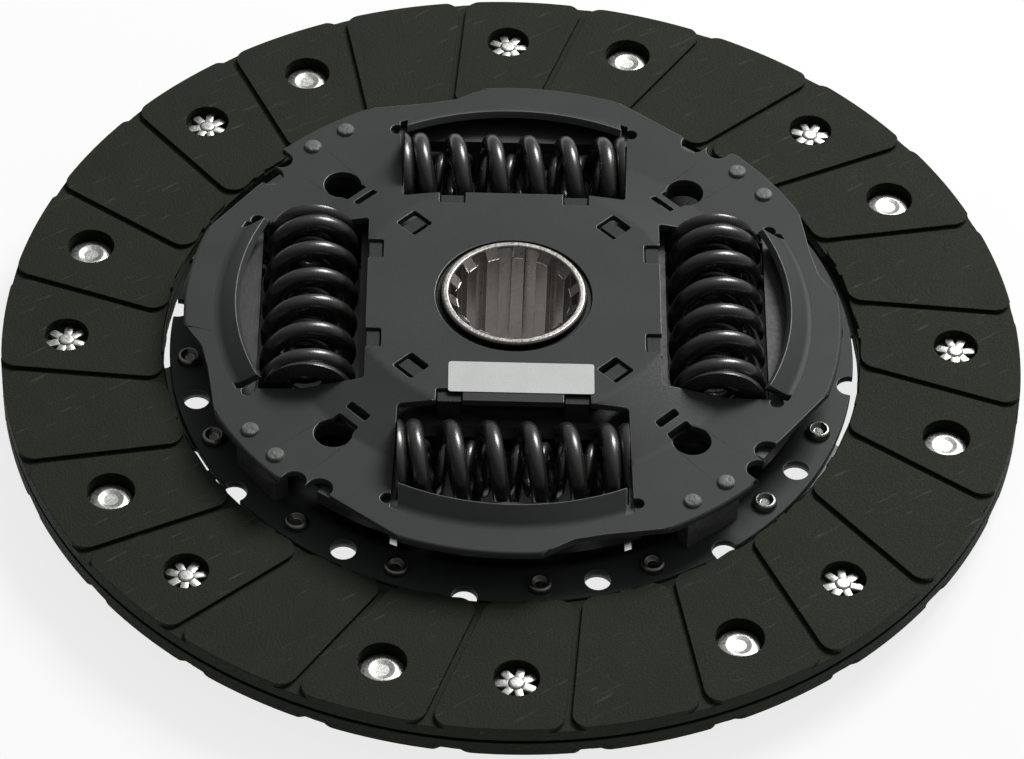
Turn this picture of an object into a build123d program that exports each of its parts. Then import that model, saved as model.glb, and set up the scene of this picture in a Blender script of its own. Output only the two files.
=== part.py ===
from build123d import *
import os
from math import asin, atan2, cos, degrees, radians, sin, sqrt

# Clutch disc with a torsion damper. Millimetres, +Z along the shaft towards the gearbox.
# The origin lies on the shaft axis, in the plane of the hub's rear end.
# Spring windows lie on the X and Y axes, rivets and lugs between them.

# Friction facings
facing_width = 31.6
facing_bore_gap = 1.2
facing_thickness = 3.2
rear_facing_height = 5.3
groove_count = 24
groove_width = 1.3
groove_depth = 0.9
groove_flare_radius = 3.2
groove_inner_angle = 10.9
groove_outer_angle = 6.0
facing_rivet_offset = 19.05
facing_rivet_spread = 14.25
tail_pocket_radius = 4.15
pocket_web = 0.8
head_hole_radius = 4.65

# Cushion segments
segment_count = 8
segment_thickness = 0.8
segment_first_angle = 15.0
segment_wing_half_angle = 21.0
segment_neck_half_angle = 9.4
segment_foot_half_angle = 12.8
segment_rim_gap = 2.4
segment_wing_gap = 2.2
segment_foot_width = 6.4
segment_foot_gap = 0.4
segment_corner_radius = 1.4
neck_overlap = 2.0

# Facing rivets
facing_rivet_shank_radius = 2.0
rivet_head_radius = 4.2
rivet_head_rim = 0.6
rivet_head_dome = 0.55
rivet_dimple_radius = 1.9
rivet_dimple_floor_radius = 1.1
rivet_dimple_depth = 0.35
tail_radius = 3.85
tail_thickness = 0.7
tail_crown_radius = 1.95
tail_crown_height = 0.4
tail_crown_taper = 25.0
tail_petal_count = 6
tail_petal_width = 2.3

# Segment rivets
segment_rivet_inset = 3.8
segment_rivet_spread = 10.0
segment_rivet_shank_radius = 1.5
segment_rivet_head_radius = 2.4
segment_rivet_head_height = 1.3
segment_rivet_head_round = 1.0
peephole_radius = 2.45
peephole_margin = 0.3
edge_notch_inset = 0.5

# Drive plate and cover plate
drive_plate_thickness = 1.5
drive_plate_ledge = 2.9
cover_plate_thickness = 1.5
cover_rim_width = 6.1
plate_gap = 8.7
cover_dish_height = 4.0
cover_flat_offset = 7.8
cover_shoulder_offset = 6.7
cover_bend_radius = 5.0
cover_edge_round = 0.6
edge_break = 0.3

# Spring windows, the same in both plates, placed from the springs' axes
window_count = 4
window_inner_offset = 11.1
window_outer_offset = 14.4
window_arc_offset = 35.6
window_flare = 0.9
window_lip_reach = 4.0
window_lip_gap = 0.5
window_corner_radius = 0.8
lip_bend_length = 0.6
lip_root = 0.4
cover_lip_height = 2.7
rear_lip_height = 1.5
window_notch_depth = 3.1
window_notch_width = 5.1
window_notch_offset = 12.25
relief_hole_radius = 1.3
relief_hole_offset = (3.4, 1.5)

# Openings between the windows of the cover plate
lug_hole_offset = 0.9
lug_hole_side = 5.0
keyhole_offset = 8.6
keyhole_radius = 3.7
keyhole_slot_width = 5.3
keyhole_slot_offset = 1.2
keyhole_bar_offset = 3.6
keyhole_bar_width = 1.7
cloud_lobe_depths = (3.6, 2.0)
cloud_lobe_angles = (53.2, 48.6)
cloud_lobe_radii = (2.5, 2.3)

# Bites in the cover plate's outline beside each window, as depth below its rim and angle
deep_bite = ((-0.9, 3.5), (2.9, 10.8), (2.9, 16.5), (-0.9, 30.0), (-5.0, 16.0))
flat_bite = ((-0.9, -16.5), (3.2, -34.0), (-0.9, -34.5), (-5.0, -28.0))
bite_corner_radius = 4.0

# Spacer tabs
tab_inset = 3.8
tab_angle = 38.1
tab_thickness = 3.0
tab_width = 12.4
tenon_radius = 1.8
tenon_spread = 3.9
tenon_head_height = 0.8

# Damper springs
spring_axis_distance = 39.8
spring_end_offset = 6.7
window_end_clearance = 0.1
outer_wire_radius = 1.75
outer_spring_radius = 9.4
outer_spring_turns = 5
outer_end_turns = 0.9
inner_wire_radius = 1.1
inner_spring_radius = 5.5
inner_spring_pitch = 4.6

# Hub
hub_length = 26.0
hub_radius = 14.3
hub_edge_chamfer = 0.5
spline_count = 14
hub_wall = 1.7
spline_depth = 1.45
spline_tooth_width = 2.62
spline_first_angle = 85.6
spline_entry_step = 0.3
hub_tooth_count = 20
hub_belt_height = 2.7
hub_tooth_height = 1.6
hub_tooth_width = 2.7
hub_tooth_clearance = 0.05

# Hub flange
flange_thickness = 3.0
flange_inset = 3.9
flange_notch_clearance = 1.5
flange_notch_round = 1.0
flange_gap = 0.3
flange_window_margin = 0.35
flange_hole_radius = 4.0
twist_limit = 8.0
stop_clearance = 0.15

# Friction rings and their springs
ring_running_clearance = 0.08
ring_thickness = 2.0
ring_margin = 0.4
collar_wall = 0.75
collar_clearance = 0.17
lug_clearance = 0.3
lug_depth = 2.6
lug_recess = 0.7
disc_spring_thickness = 0.8
disc_spring_inset = 3.6
support_ring_thickness = 1.4
support_ring_bore_gap = 1.5
support_ring_inset = 2.2

# Blank label
label_length = 28.0
label_width = 8.0
label_thickness = 0.15
label_window_offset = 6.2
label_shift = 1.5
label_corner_radius = 0.6

# Heights that follow from the sizes above
segment_rear_height = rear_facing_height + facing_thickness
segment_front_height = segment_rear_height + segment_thickness
front_facing_height = segment_front_height + facing_thickness
drive_plate_front_height = segment_front_height + drive_plate_thickness
cover_rear_height = drive_plate_front_height + plate_gap
cover_front_height = cover_rear_height + cover_plate_thickness
cover_top_height = cover_front_height + cover_dish_height
cover_inside_height = cover_top_height - cover_plate_thickness
flange_front_height = cover_rear_height - flange_gap
flange_rear_height = flange_front_height - flange_thickness
spring_height = (flange_front_height + flange_rear_height) / 2

# Angles and sizes that follow from the sizes above, from the springs outwards
window_inner_distance = spring_axis_distance - window_inner_offset
window_outer_distance = spring_axis_distance + window_outer_offset
window_arc_center = spring_axis_distance - window_arc_offset
window_arc_radius = window_outer_distance - window_arc_center
window_lip_base_radius = window_arc_radius + window_lip_reach
spring_length = 2 * (window_inner_distance - spring_end_offset)
window_half_length = spring_length / 2 + window_end_clearance
cover_flat_radius = spring_axis_distance - cover_flat_offset
cover_shoulder_radius = spring_axis_distance + cover_shoulder_offset
cover_plate_radius = window_outer_distance + window_lip_reach + cover_rim_width
drive_plate_radius = cover_plate_radius + drive_plate_ledge
facing_inner_radius = drive_plate_radius + facing_bore_gap
facing_outer_radius = facing_inner_radius + facing_width
facing_rivet_circle_radius = facing_inner_radius + facing_rivet_offset
segment_rivet_circle_radius = drive_plate_radius - segment_rivet_inset
tab_circle_radius = cover_plate_radius - tab_inset
flange_radius = cover_plate_radius - flange_inset
flange_notch_radius = tab_circle_radius - tab_thickness / 2 - flange_notch_clearance
lug_hole_distance = window_inner_distance - lug_hole_offset
keyhole_distance = spring_axis_distance + keyhole_offset
keyhole_slot_end = spring_axis_distance + keyhole_slot_offset
keyhole_bar_distance = spring_axis_distance + keyhole_bar_offset
window_angle_step = 360 / window_count
segment_angle_step = 360 / segment_count
lug_angle = window_angle_step / 2
quarter_turns = PolarLocations(0, window_count)
ring_bore_radius = hub_radius + ring_running_clearance
collar_radius = ring_bore_radius + collar_wall
plate_hole_radius = collar_radius + collar_clearance
hub_tooth_root_radius = hub_radius + hub_belt_height
hub_tooth_tip_radius = hub_tooth_root_radius + hub_tooth_height
spline_root_radius = hub_radius - hub_wall
spline_land_radius = spline_root_radius - spline_depth
spline_entry_radius = spline_root_radius + spline_entry_step
ring_radius = lug_hole_distance + ring_margin
disc_spring_outer_radius = ring_radius - disc_spring_inset
support_ring_inner_radius = hub_radius + support_ring_bore_gap
support_ring_outer_radius = ring_radius - support_ring_inset

os.makedirs("parts", exist_ok=True)


def save(builder, name):
    """Label a finished piece and write it to its own file."""
    builder.part.label = name
    export_step(builder.part, f"parts/{name}.step")


def polar(radius, angle):
    """Point at a radius and an angle in degrees."""
    return (radius * cos(radians(angle)), radius * sin(radians(angle)))


def ring_sector(inner_radius, outer_radius, middle, half_angle, mode=Mode.ADD):
    """Add a sector of a ring to the sketch that is open."""
    with BuildLine() as outline:
        outer = CenterArc((0, 0), outer_radius, middle - half_angle, 2 * half_angle)
        inner = CenterArc((0, 0), inner_radius, middle - half_angle, 2 * half_angle)
        Line(outer @ 0, inner @ 0)
        Line(outer @ 1, inner @ 1)
    make_face(outline.line.edges(), mode=mode)


def window_outline():
    """Outline of the spring window on +X up to the root of its lip: its ends flare outwards."""
    corner_y = window_half_length + window_flare
    corner_x = window_arc_center + sqrt(window_lip_base_radius**2 - corner_y**2)
    with BuildSketch(mode=Mode.PRIVATE) as window:
        with BuildLine() as outline:
            sides = Polyline(
                (corner_x, -corner_y),
                (window_inner_distance, -window_half_length),
                (window_inner_distance, window_half_length),
                (corner_x, corner_y),
            )
            ThreePointArc(sides @ 1, (window_arc_center + window_lip_base_radius, 0), sides @ 0)
        make_face(outline.line.edges())
        fillet(window.vertices().group_by(Axis.X)[0], window_corner_radius)
    return window.sketch_local


def window_lips(rear_height, front_height, rise):
    """Lips on the windows' outer edges: the sheet bends out of the plate by the rise."""
    thickness = front_height - rear_height
    slope = degrees(atan2(abs(rise), window_lip_reach - lip_bend_length))
    lean = thickness * sin(radians(slope))
    drop = thickness * cos(radians(slope))
    near, far = (front_height, rear_height) if rise > 0 else (rear_height, front_height)
    sign = 1 if rise > 0 else -1
    lip_half_length = window_half_length - window_lip_gap
    half_angle = degrees(asin(lip_half_length / (window_arc_radius - lean)))
    lip_plane = Plane(origin=(window_arc_center, 0, 0), x_dir=polar(1, -half_angle), z_dir=polar(1, -90 - half_angle))
    with BuildPart(mode=Mode.PRIVATE) as lips:
        with BuildSketch(lip_plane) as section:
            with BuildLine() as outline:
                Polyline(
                    (window_lip_base_radius + lip_root, near),
                    (window_lip_base_radius - lip_bend_length, near),
                    (window_arc_radius, near + rise),
                    (window_arc_radius - lean, near + rise - sign * drop),
                    (window_lip_base_radius - lip_bend_length - lean, far),
                    (window_lip_base_radius + lip_root, far),
                    close=True,
                )
            make_face(outline.line.edges())
        arc_axis = Axis((window_arc_center, 0, 0), (0, 0, 1))
        revolve(section.sketch, axis=arc_axis, revolution_arc=2 * half_angle)
        split(bisect_by=Plane.XZ.offset(lip_half_length), keep=Keep.BOTTOM)
        split(bisect_by=Plane.XZ.offset(-lip_half_length), keep=Keep.TOP)
    return [lips.part.rotate(Axis.Z, turn * window_angle_step) for turn in range(window_count)]


def outline_bites():
    """Shallow bites in the cover plate's outline on both sides of the window on +X."""
    with BuildSketch(mode=Mode.PRIVATE) as bites:
        with BuildLine() as deep:
            Polyline([polar(cover_plate_radius - depth, angle) for depth, angle in deep_bite], close=True)
        make_face(deep.line.edges())
        fillet(bites.vertices().sort_by(SortBy.DISTANCE)[:2], bite_corner_radius)
        with BuildLine() as flat:
            Polyline([polar(cover_plate_radius - depth, angle) for depth, angle in flat_bite], close=True)
        make_face(flat.line.edges())
    return bites.sketch_local


def flange_notch():
    """Notch in the flange's rim at the first spacer tab."""
    with BuildSketch(mode=Mode.PRIVATE) as notch:
        ring_sector(flange_notch_radius, flange_radius + 1, tab_angle, notch_half_angle)
        fillet(notch.vertices().sort_by(SortBy.DISTANCE)[:2], flange_notch_round)
    return notch.sketch_local


# Friction facing: a ring with slanted grooves whose mouths flare, pockets for the star
# tails of its own rivets, and holes that clear the heads of the other facing's rivets
tail_angle = segment_first_angle - facing_rivet_spread
head_angle = segment_first_angle + facing_rivet_spread
groove_start = Vector(*polar(facing_inner_radius, groove_inner_angle))
groove_end = Vector(*polar(facing_outer_radius, groove_outer_angle))
groove_direction = (groove_end - groove_start).normalized()
groove_middle = (groove_start + groove_end) / 2
groove_length = (groove_end - groove_start).length
groove_tilt = degrees(atan2(groove_direction.Y, groove_direction.X))
mouth_pad = 1.0
mouth_pad_width = 6 * groove_flare_radius

with BuildPart() as front_facing:
    with BuildSketch(Plane.XY.offset(segment_front_height)):
        Circle(facing_outer_radius)
        Circle(facing_inner_radius, mode=Mode.SUBTRACT)
        with PolarLocations(facing_rivet_circle_radius, segment_count, tail_angle):
            Circle(facing_rivet_shank_radius, mode=Mode.SUBTRACT)
        with PolarLocations(facing_rivet_circle_radius, segment_count, head_angle):
            Circle(head_hole_radius, mode=Mode.SUBTRACT)
    extrude(amount=facing_thickness)
    with BuildSketch(Plane.XY.offset(segment_front_height + pocket_web)):
        with PolarLocations(facing_rivet_circle_radius, segment_count, tail_angle):
            Circle(tail_pocket_radius)
    extrude(amount=facing_thickness, mode=Mode.SUBTRACT)
    with BuildSketch(Plane.XY.offset(front_facing_height), mode=Mode.PRIVATE) as groove:
        with Locations((groove_middle.X, groove_middle.Y)):
            Rectangle(groove_length + mouth_pad, groove_width, rotation=groove_tilt)
        with Locations(polar(facing_inner_radius - mouth_pad / 2, groove_inner_angle)):
            Rectangle(mouth_pad, mouth_pad_width, rotation=groove_inner_angle)
        with Locations(polar(facing_outer_radius + mouth_pad / 2, groove_outer_angle)):
            Rectangle(mouth_pad, mouth_pad_width, rotation=groove_outer_angle)
        groove_axis = Edge.make_line(groove_start, groove_end).moved(Pos(0, 0, front_facing_height))
        mouth_corners = groove.vertices().sort_by_distance(groove_axis)[:4]
        fillet(mouth_corners, groove_flare_radius)
    with BuildSketch(Plane.XY.offset(front_facing_height)):
        with PolarLocations(0, groove_count):
            add(groove.sketch_local)
    extrude(amount=-groove_depth, mode=Mode.SUBTRACT)

# The rear facing is the same piece turned over about a radius through a segment's middle
turn_axis = Axis((0, 0, segment_rear_height + segment_thickness / 2), polar(1, segment_first_angle))
with BuildPart() as rear_facing:
    add(front_facing.part.rotate(turn_axis, 180))

save(front_facing, "front_facing")
save(rear_facing, "rear_facing")

# Cushion segments: thin spring steel fans between the facings, with a narrow neck and a foot
# that is riveted behind the drive plate
segment_outer_radius = facing_outer_radius - segment_rim_gap
segment_wing_radius = facing_inner_radius + segment_wing_gap
foot_outer_radius = drive_plate_radius - segment_foot_gap
neck_inner_radius = foot_outer_radius - neck_overlap
neck_outer_radius = segment_wing_radius + neck_overlap
for index in range(segment_count):
    middle = segment_first_angle + index * segment_angle_step
    with BuildPart() as segment:
        with BuildSketch(Plane.XY.offset(segment_rear_height)):
            ring_sector(segment_wing_radius, segment_outer_radius, middle, segment_wing_half_angle)
            ring_sector(neck_inner_radius, neck_outer_radius, middle, segment_neck_half_angle)
            ring_sector(foot_outer_radius - segment_foot_width, foot_outer_radius, middle, segment_foot_half_angle)
        extrude(amount=segment_thickness)
        fillet(segment.edges().filter_by(Axis.Z), segment_corner_radius)
        with BuildSketch(Plane.XY.offset(segment_rear_height)):
            for side in (-1, 1):
                with Locations(polar(facing_rivet_circle_radius, middle + side * facing_rivet_spread)):
                    Circle(facing_rivet_shank_radius)
                with Locations(polar(segment_rivet_circle_radius, middle + side * segment_rivet_spread)):
                    Circle(segment_rivet_shank_radius)
            with Locations(polar(segment_rivet_circle_radius, middle)):
                Circle(peephole_radius + peephole_margin)
        extrude(amount=segment_thickness, mode=Mode.SUBTRACT)
    save(segment, f"cushion_segment_{index + 1}")

# Facing rivets: a domed head with a dimple lies on the segment, and the tail is split into a
# star that grips the web at the bottom of its facing's pocket
shank_length = segment_thickness + pocket_web


def facing_rivet(head_face, towards_tail):
    """Add one facing rivet at the sketch origin; its head's flat side lies at head_face."""
    tail_face = head_face + towards_tail * shank_length
    head_edge = head_face - towards_tail * rivet_head_rim
    head_top = head_edge - towards_tail * rivet_head_dome
    dimple_floor = head_top + towards_tail * rivet_dimple_depth
    with BuildSketch(Plane.XZ) as half_section:
        with BuildLine() as outline:
            Polyline(
                (0, tail_face),
                (facing_rivet_shank_radius, tail_face),
                (facing_rivet_shank_radius, head_face),
                (rivet_head_radius, head_face),
                (rivet_head_radius, head_edge),
                (rivet_dimple_radius, head_top),
                (rivet_dimple_floor_radius, dimple_floor),
                (0, dimple_floor),
                close=True,
            )
        make_face(outline.line.edges())
    revolve(half_section.sketch, axis=Axis.Z)
    with BuildSketch(Plane.XY.offset(tail_face)) as star:
        Circle(tail_crown_radius)
        with PolarLocations(tail_radius / 2, tail_petal_count):
            SlotOverall(tail_radius, tail_petal_width)
    extrude(star.sketch, amount=towards_tail * tail_thickness)
    with BuildSketch(Plane.XY.offset(tail_face)) as crown:
        Circle(tail_crown_radius)
    crown_reach = towards_tail * (tail_thickness + tail_crown_height)
    extrude(crown.sketch, amount=crown_reach, taper=tail_crown_taper)


with BuildPart() as front_rivet:
    facing_rivet(segment_rear_height, 1)
with BuildPart() as rear_rivet:
    facing_rivet(segment_front_height, -1)
with BuildPart() as front_facing_rivets:
    with PolarLocations(facing_rivet_circle_radius, segment_count, tail_angle):
        add(front_rivet.part)
with BuildPart() as rear_facing_rivets:
    with PolarLocations(facing_rivet_circle_radius, segment_count, head_angle):
        add(rear_rivet.part)
save(front_facing_rivets, "front_facing_rivets")
save(rear_facing_rivets, "rear_facing_rivets")

# Drive plate: a flat sheet disc with spring windows whose outer edges are turned to the rear
edge_notch_angle = segment_first_angle + segment_angle_step / 2
tenon_angles = [tab_angle + side * tenon_spread for side in (-1, 1)]
segment_rivet_angles = [segment_first_angle + side * segment_rivet_spread for side in (-1, 1)]

with BuildPart() as drive_plate:
    with BuildSketch(Plane.XY.offset(segment_front_height)):
        Circle(drive_plate_radius)
        Circle(plate_hole_radius, mode=Mode.SUBTRACT)
    extrude(amount=drive_plate_thickness)
    chamfer(drive_plate.faces().sort_by(Axis.Z)[-1].edges().sort_by(SortBy.RADIUS)[-1], edge_break)
    with BuildSketch(Plane.XY.offset(segment_front_height)):
        with quarter_turns:
            add(window_outline())
        with PolarLocations(segment_rivet_circle_radius, segment_count, segment_first_angle):
            Circle(peephole_radius)
        with PolarLocations(drive_plate_radius - edge_notch_inset, segment_count, edge_notch_angle):
            Circle(peephole_radius)
        for rivet_angle in segment_rivet_angles:
            with PolarLocations(segment_rivet_circle_radius, segment_count, rivet_angle):
                Circle(segment_rivet_shank_radius)
        for tenon_angle in tenon_angles:
            with PolarLocations(tab_circle_radius, window_count, tenon_angle):
                Circle(tenon_radius)
        with PolarLocations(lug_hole_distance, window_count, lug_angle):
            Rectangle(lug_hole_side, lug_hole_side)
    extrude(amount=drive_plate_thickness, mode=Mode.SUBTRACT)
    add(window_lips(segment_front_height, segment_front_height + drive_plate_thickness, -rear_lip_height))

save(drive_plate, "drive_plate")

# Segment rivets: round heads on the drive plate, closed behind the segments' feet
with BuildPart() as segment_rivets:
    for rivet_angle in segment_rivet_angles:
        with BuildSketch(Plane.XY.offset(segment_rear_height)):
            with PolarLocations(segment_rivet_circle_radius, segment_count, rivet_angle):
                Circle(segment_rivet_shank_radius)
        extrude(amount=segment_thickness + drive_plate_thickness)
        for height, direction in ((drive_plate_front_height, 1), (segment_rear_height, -1)):
            with BuildSketch(Plane.XY.offset(height)):
                with PolarLocations(segment_rivet_circle_radius, segment_count, rivet_angle):
                    Circle(segment_rivet_head_radius)
            extrude(amount=direction * segment_rivet_head_height)
    outer_rims = segment_rivets.edges().filter_by(GeomType.CIRCLE).group_by(Axis.Z)
    fillet(outer_rims[-1] + outer_rims[0], segment_rivet_head_round)
save(segment_rivets, "segment_rivets")

# Cover plate: dished sheet, flat round the hub and flat again outside, with the scalloped
# outline that leaves room for the riveting tools
relief_distance = window_outer_distance - relief_hole_offset[0]
relief_side = window_half_length + relief_hole_offset[1]
with BuildPart() as cover_plate:
    with BuildSketch(Plane.XZ) as plate_section:
        with BuildLine() as section_line:
            Polyline(
                (plate_hole_radius, cover_top_height),
                (cover_flat_radius, cover_top_height),
                (cover_shoulder_radius, cover_front_height),
                (cover_plate_radius, cover_front_height),
                (cover_plate_radius, cover_rear_height),
                (cover_shoulder_radius, cover_rear_height),
                (cover_flat_radius, cover_inside_height),
                (plate_hole_radius, cover_inside_height),
                close=True,
            )
        make_face(section_line.line.edges())
        across = plate_section.vertices().sort_by(Axis.X)
        fillet(across[2:-2], cover_bend_radius)
        fillet(across[-2:].sort_by(Axis.Z)[-1], cover_edge_round)
    revolve(axis=Axis.Z)
    with BuildSketch(Plane.XY.offset(cover_rear_height)):
        with quarter_turns:
            add(window_outline())
        for side in (-1, 1):
            with quarter_turns:
                with Locations((window_inner_distance, side * window_notch_offset)):
                    Rectangle(2 * window_notch_depth, window_notch_width)
                with Locations((relief_distance, side * relief_side)):
                    Circle(relief_hole_radius)
        with PolarLocations(lug_hole_distance, window_count, lug_angle):
            Rectangle(lug_hole_side, lug_hole_side)
        with PolarLocations(keyhole_distance, window_count, lug_angle):
            Circle(keyhole_radius)
        slot_length = keyhole_distance - keyhole_slot_end
        with PolarLocations(keyhole_distance - slot_length / 2, window_count, lug_angle):
            Rectangle(slot_length, keyhole_slot_width)
        with PolarLocations(keyhole_bar_distance, window_count, lug_angle):
            Rectangle(keyhole_bar_width, keyhole_slot_width, mode=Mode.SUBTRACT)
        for tenon_angle in tenon_angles:
            with PolarLocations(tab_circle_radius, window_count, tenon_angle):
                Circle(tenon_radius)
        for depth, angle, radius in zip(cloud_lobe_depths, cloud_lobe_angles, cloud_lobe_radii):
            with PolarLocations(cover_plate_radius - depth, window_count, angle):
                Circle(radius)
                with Locations((depth, 0)):
                    Rectangle(2 * depth, 2 * radius)
    extrude(amount=cover_top_height, mode=Mode.SUBTRACT)
    with BuildSketch(Plane.XY.offset(cover_rear_height)):
        with quarter_turns:
            add(outline_bites())
    extrude(amount=cover_top_height, mode=Mode.SUBTRACT)
    add(window_lips(cover_rear_height, cover_front_height, cover_lip_height))
save(cover_plate, "cover_plate")

# Spacer tabs: flat bars that hold the two plates apart, with round tenons staked over outside
spacer_height = cover_rear_height - drive_plate_front_height
for index in range(window_count):
    place_angle = tab_angle + index * window_angle_step
    tab_plane = Plane.XY.offset(drive_plate_front_height).rotated((0, 0, place_angle))
    with BuildPart() as spacer_tab:
        with BuildSketch(tab_plane):
            with Locations((tab_circle_radius, 0)):
                Rectangle(tab_thickness, tab_width)
        extrude(amount=spacer_height)
        for side in (-1, 1):
            tenon_place = polar(tab_circle_radius, side * tenon_spread)
            with BuildSketch(tab_plane.offset(spacer_height)):
                with Locations(tenon_place):
                    Circle(tenon_radius)
            extrude(amount=cover_plate_thickness + tenon_head_height)
            with BuildSketch(tab_plane):
                with Locations(tenon_place):
                    Circle(tenon_radius)
            extrude(amount=-drive_plate_thickness - tenon_head_height)
        tenon_ends = spacer_tab.edges().filter_by(GeomType.CIRCLE).group_by(Axis.Z)
        fillet(tenon_ends[-1] + tenon_ends[0], edge_break)
    save(spacer_tab, f"spacer_tab_{index + 1}")

# Damper springs: each window holds two nested coil springs with ends ground flat. They are
# made once, standing on the Z axis, and then laid into the windows.
outer_coil_radius = outer_spring_radius - outer_wire_radius
inner_coil_radius = inner_spring_radius - inner_wire_radius
closed_pitch = 2 * outer_wire_radius
outer_spring_pitch = (spring_length - 2 * closed_pitch) / outer_spring_turns


def coil(coil_radius, wire_radius, pitch, start, turns, start_turn=0.0, lefthand=False):
    """One stretch of a coil spring on the Z axis, whose first point is turned by start_turn."""
    path = Edge.make_helix(pitch, turns * pitch, coil_radius, (0, 0, start), (0, 0, 1), 0, lefthand)
    path = path.rotate(Axis.Z, 360 * start_turn)
    with BuildSketch(Plane(origin=path @ 0, z_dir=path % 0)) as wire:
        Circle(wire_radius)
    return sweep(wire.sketch, path=path, is_frenet=True)


active_half = outer_spring_pitch * outer_spring_turns / 2
first_end = -active_half - closed_pitch * outer_end_turns
wire_of_outer = (outer_coil_radius, outer_wire_radius)
with BuildPart() as outer_spring_form:
    add(coil(*wire_of_outer, outer_spring_pitch, -active_half, outer_spring_turns))
    add(coil(*wire_of_outer, closed_pitch, active_half, outer_end_turns))
    add(coil(*wire_of_outer, closed_pitch, first_end, outer_end_turns, start_turn=-outer_end_turns))
    split(bisect_by=Plane.XY.offset(spring_length / 2), keep=Keep.BOTTOM)
    split(bisect_by=Plane.XY.offset(-spring_length / 2), keep=Keep.TOP)

inner_turns = (spring_length + 2 * inner_wire_radius) / inner_spring_pitch
with BuildPart() as inner_spring_form:
    start = -inner_turns * inner_spring_pitch / 2
    add(coil(inner_coil_radius, inner_wire_radius, inner_spring_pitch, start, inner_turns, lefthand=True))
    split(bisect_by=Plane.XY.offset(spring_length / 2), keep=Keep.BOTTOM)
    split(bisect_by=Plane.XY.offset(-spring_length / 2), keep=Keep.TOP)

for index in range(window_count):
    spring_center = (*polar(spring_axis_distance, index * window_angle_step), spring_height)
    along_window = polar(1, (index + 1) * window_angle_step)
    spring_seat = Plane(origin=spring_center, x_dir=(0, 0, 1), z_dir=along_window)
    with BuildPart() as outer_spring:
        add(outer_spring_form.part.moved(spring_seat.location))
    save(outer_spring, f"outer_spring_{index + 1}")
    with BuildPart() as inner_spring:
        add(inner_spring_form.part.moved(spring_seat.location))
    save(inner_spring, f"inner_spring_{index + 1}")

# Hub: a splined sleeve with a toothed belt that carries the flange
with BuildPart() as hub:
    with BuildSketch():
        Circle(hub_radius)
    extrude(amount=hub_length)
    with BuildSketch(Plane.XY.offset(flange_rear_height)):
        Circle(hub_tooth_root_radius)
        with PolarLocations(hub_tooth_root_radius, hub_tooth_count):
            Rectangle(2 * (hub_tooth_tip_radius - hub_tooth_root_radius), hub_tooth_width)
    extrude(amount=flange_thickness)
    chamfer(hub.edges().filter_by(GeomType.CIRCLE).group_by(Axis.Z)[0], hub_edge_chamfer)
    chamfer(hub.edges().filter_by(GeomType.CIRCLE).group_by(Axis.Z)[-1], hub_edge_chamfer)
    with BuildSketch():
        Circle(spline_root_radius)
        with PolarLocations(spline_root_radius, spline_count, spline_first_angle):
            Rectangle(2 * (spline_root_radius - spline_land_radius), spline_tooth_width, mode=Mode.SUBTRACT)
        Circle(spline_land_radius)
    extrude(amount=hub_length, mode=Mode.SUBTRACT)
    entry_depth = spline_entry_radius - spline_land_radius
    with BuildSketch(Plane.XZ):
        for end, direction in ((0, 1), (hub_length, -1)):
            with BuildLine() as cone_line:
                Polyline(
                    (0, end),
                    (spline_entry_radius, end),
                    (spline_land_radius, end + direction * entry_depth),
                    (0, end + direction * entry_depth),
                    close=True,
                )
            make_face(cone_line.line.edges())
    revolve(axis=Axis.Z, mode=Mode.SUBTRACT)
save(hub, "hub")

# Hub flange: toothed on the hub's belt, with the spring windows, and with notches in its rim
# whose ends stop against the spacer tabs
notch_half_angle = degrees(asin(tab_width / 2 / flange_notch_radius)) + twist_limit + stop_clearance
flange_window_half_width = outer_spring_radius + flange_window_margin
with BuildPart() as hub_flange:
    with BuildSketch(Plane.XY.offset(flange_rear_height)):
        Circle(flange_radius)
        Circle(hub_tooth_root_radius + hub_tooth_clearance, mode=Mode.SUBTRACT)
        with PolarLocations(hub_tooth_root_radius, hub_tooth_count):
            tooth_height = hub_tooth_tip_radius - hub_tooth_root_radius + hub_tooth_clearance
            Rectangle(2 * tooth_height, hub_tooth_width + 2 * hub_tooth_clearance, mode=Mode.SUBTRACT)
        with PolarLocations(spring_axis_distance, window_count):
            Rectangle(2 * flange_window_half_width, 2 * window_half_length, mode=Mode.SUBTRACT)
        with PolarLocations(keyhole_distance, window_count, lug_angle):
            Circle(flange_hole_radius, mode=Mode.SUBTRACT)
        with quarter_turns:
            add(flange_notch(), mode=Mode.SUBTRACT)
    extrude(amount=flange_thickness)
save(hub_flange, "hub_flange")

# Friction rings: they turn with the plates, centre them on the hub and rub on the flange
lug_side = lug_hole_side - 2 * lug_clearance
slot_tab_depth = window_notch_depth - 2 * lug_clearance
slot_tab_width = window_notch_width - 2 * lug_clearance
slot_tab_distance = window_inner_distance - window_notch_depth / 2
with BuildPart() as front_friction_ring:
    with BuildSketch(Plane.XY.offset(flange_front_height)):
        Circle(ring_radius)
        Circle(ring_bore_radius, mode=Mode.SUBTRACT)
    extrude(amount=ring_thickness)
    with BuildSketch(Plane.XY.offset(flange_front_height)):
        Circle(collar_radius)
        Circle(ring_bore_radius, mode=Mode.SUBTRACT)
        with PolarLocations(lug_hole_distance, window_count, lug_angle):
            Rectangle(lug_depth, lug_side)
        for side in (-1, 1):
            with quarter_turns:
                with Locations((slot_tab_distance, side * window_notch_offset)):
                    Rectangle(slot_tab_depth, slot_tab_width)
    extrude(amount=cover_top_height - lug_recess - flange_front_height)
save(front_friction_ring, "front_friction_ring")

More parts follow.
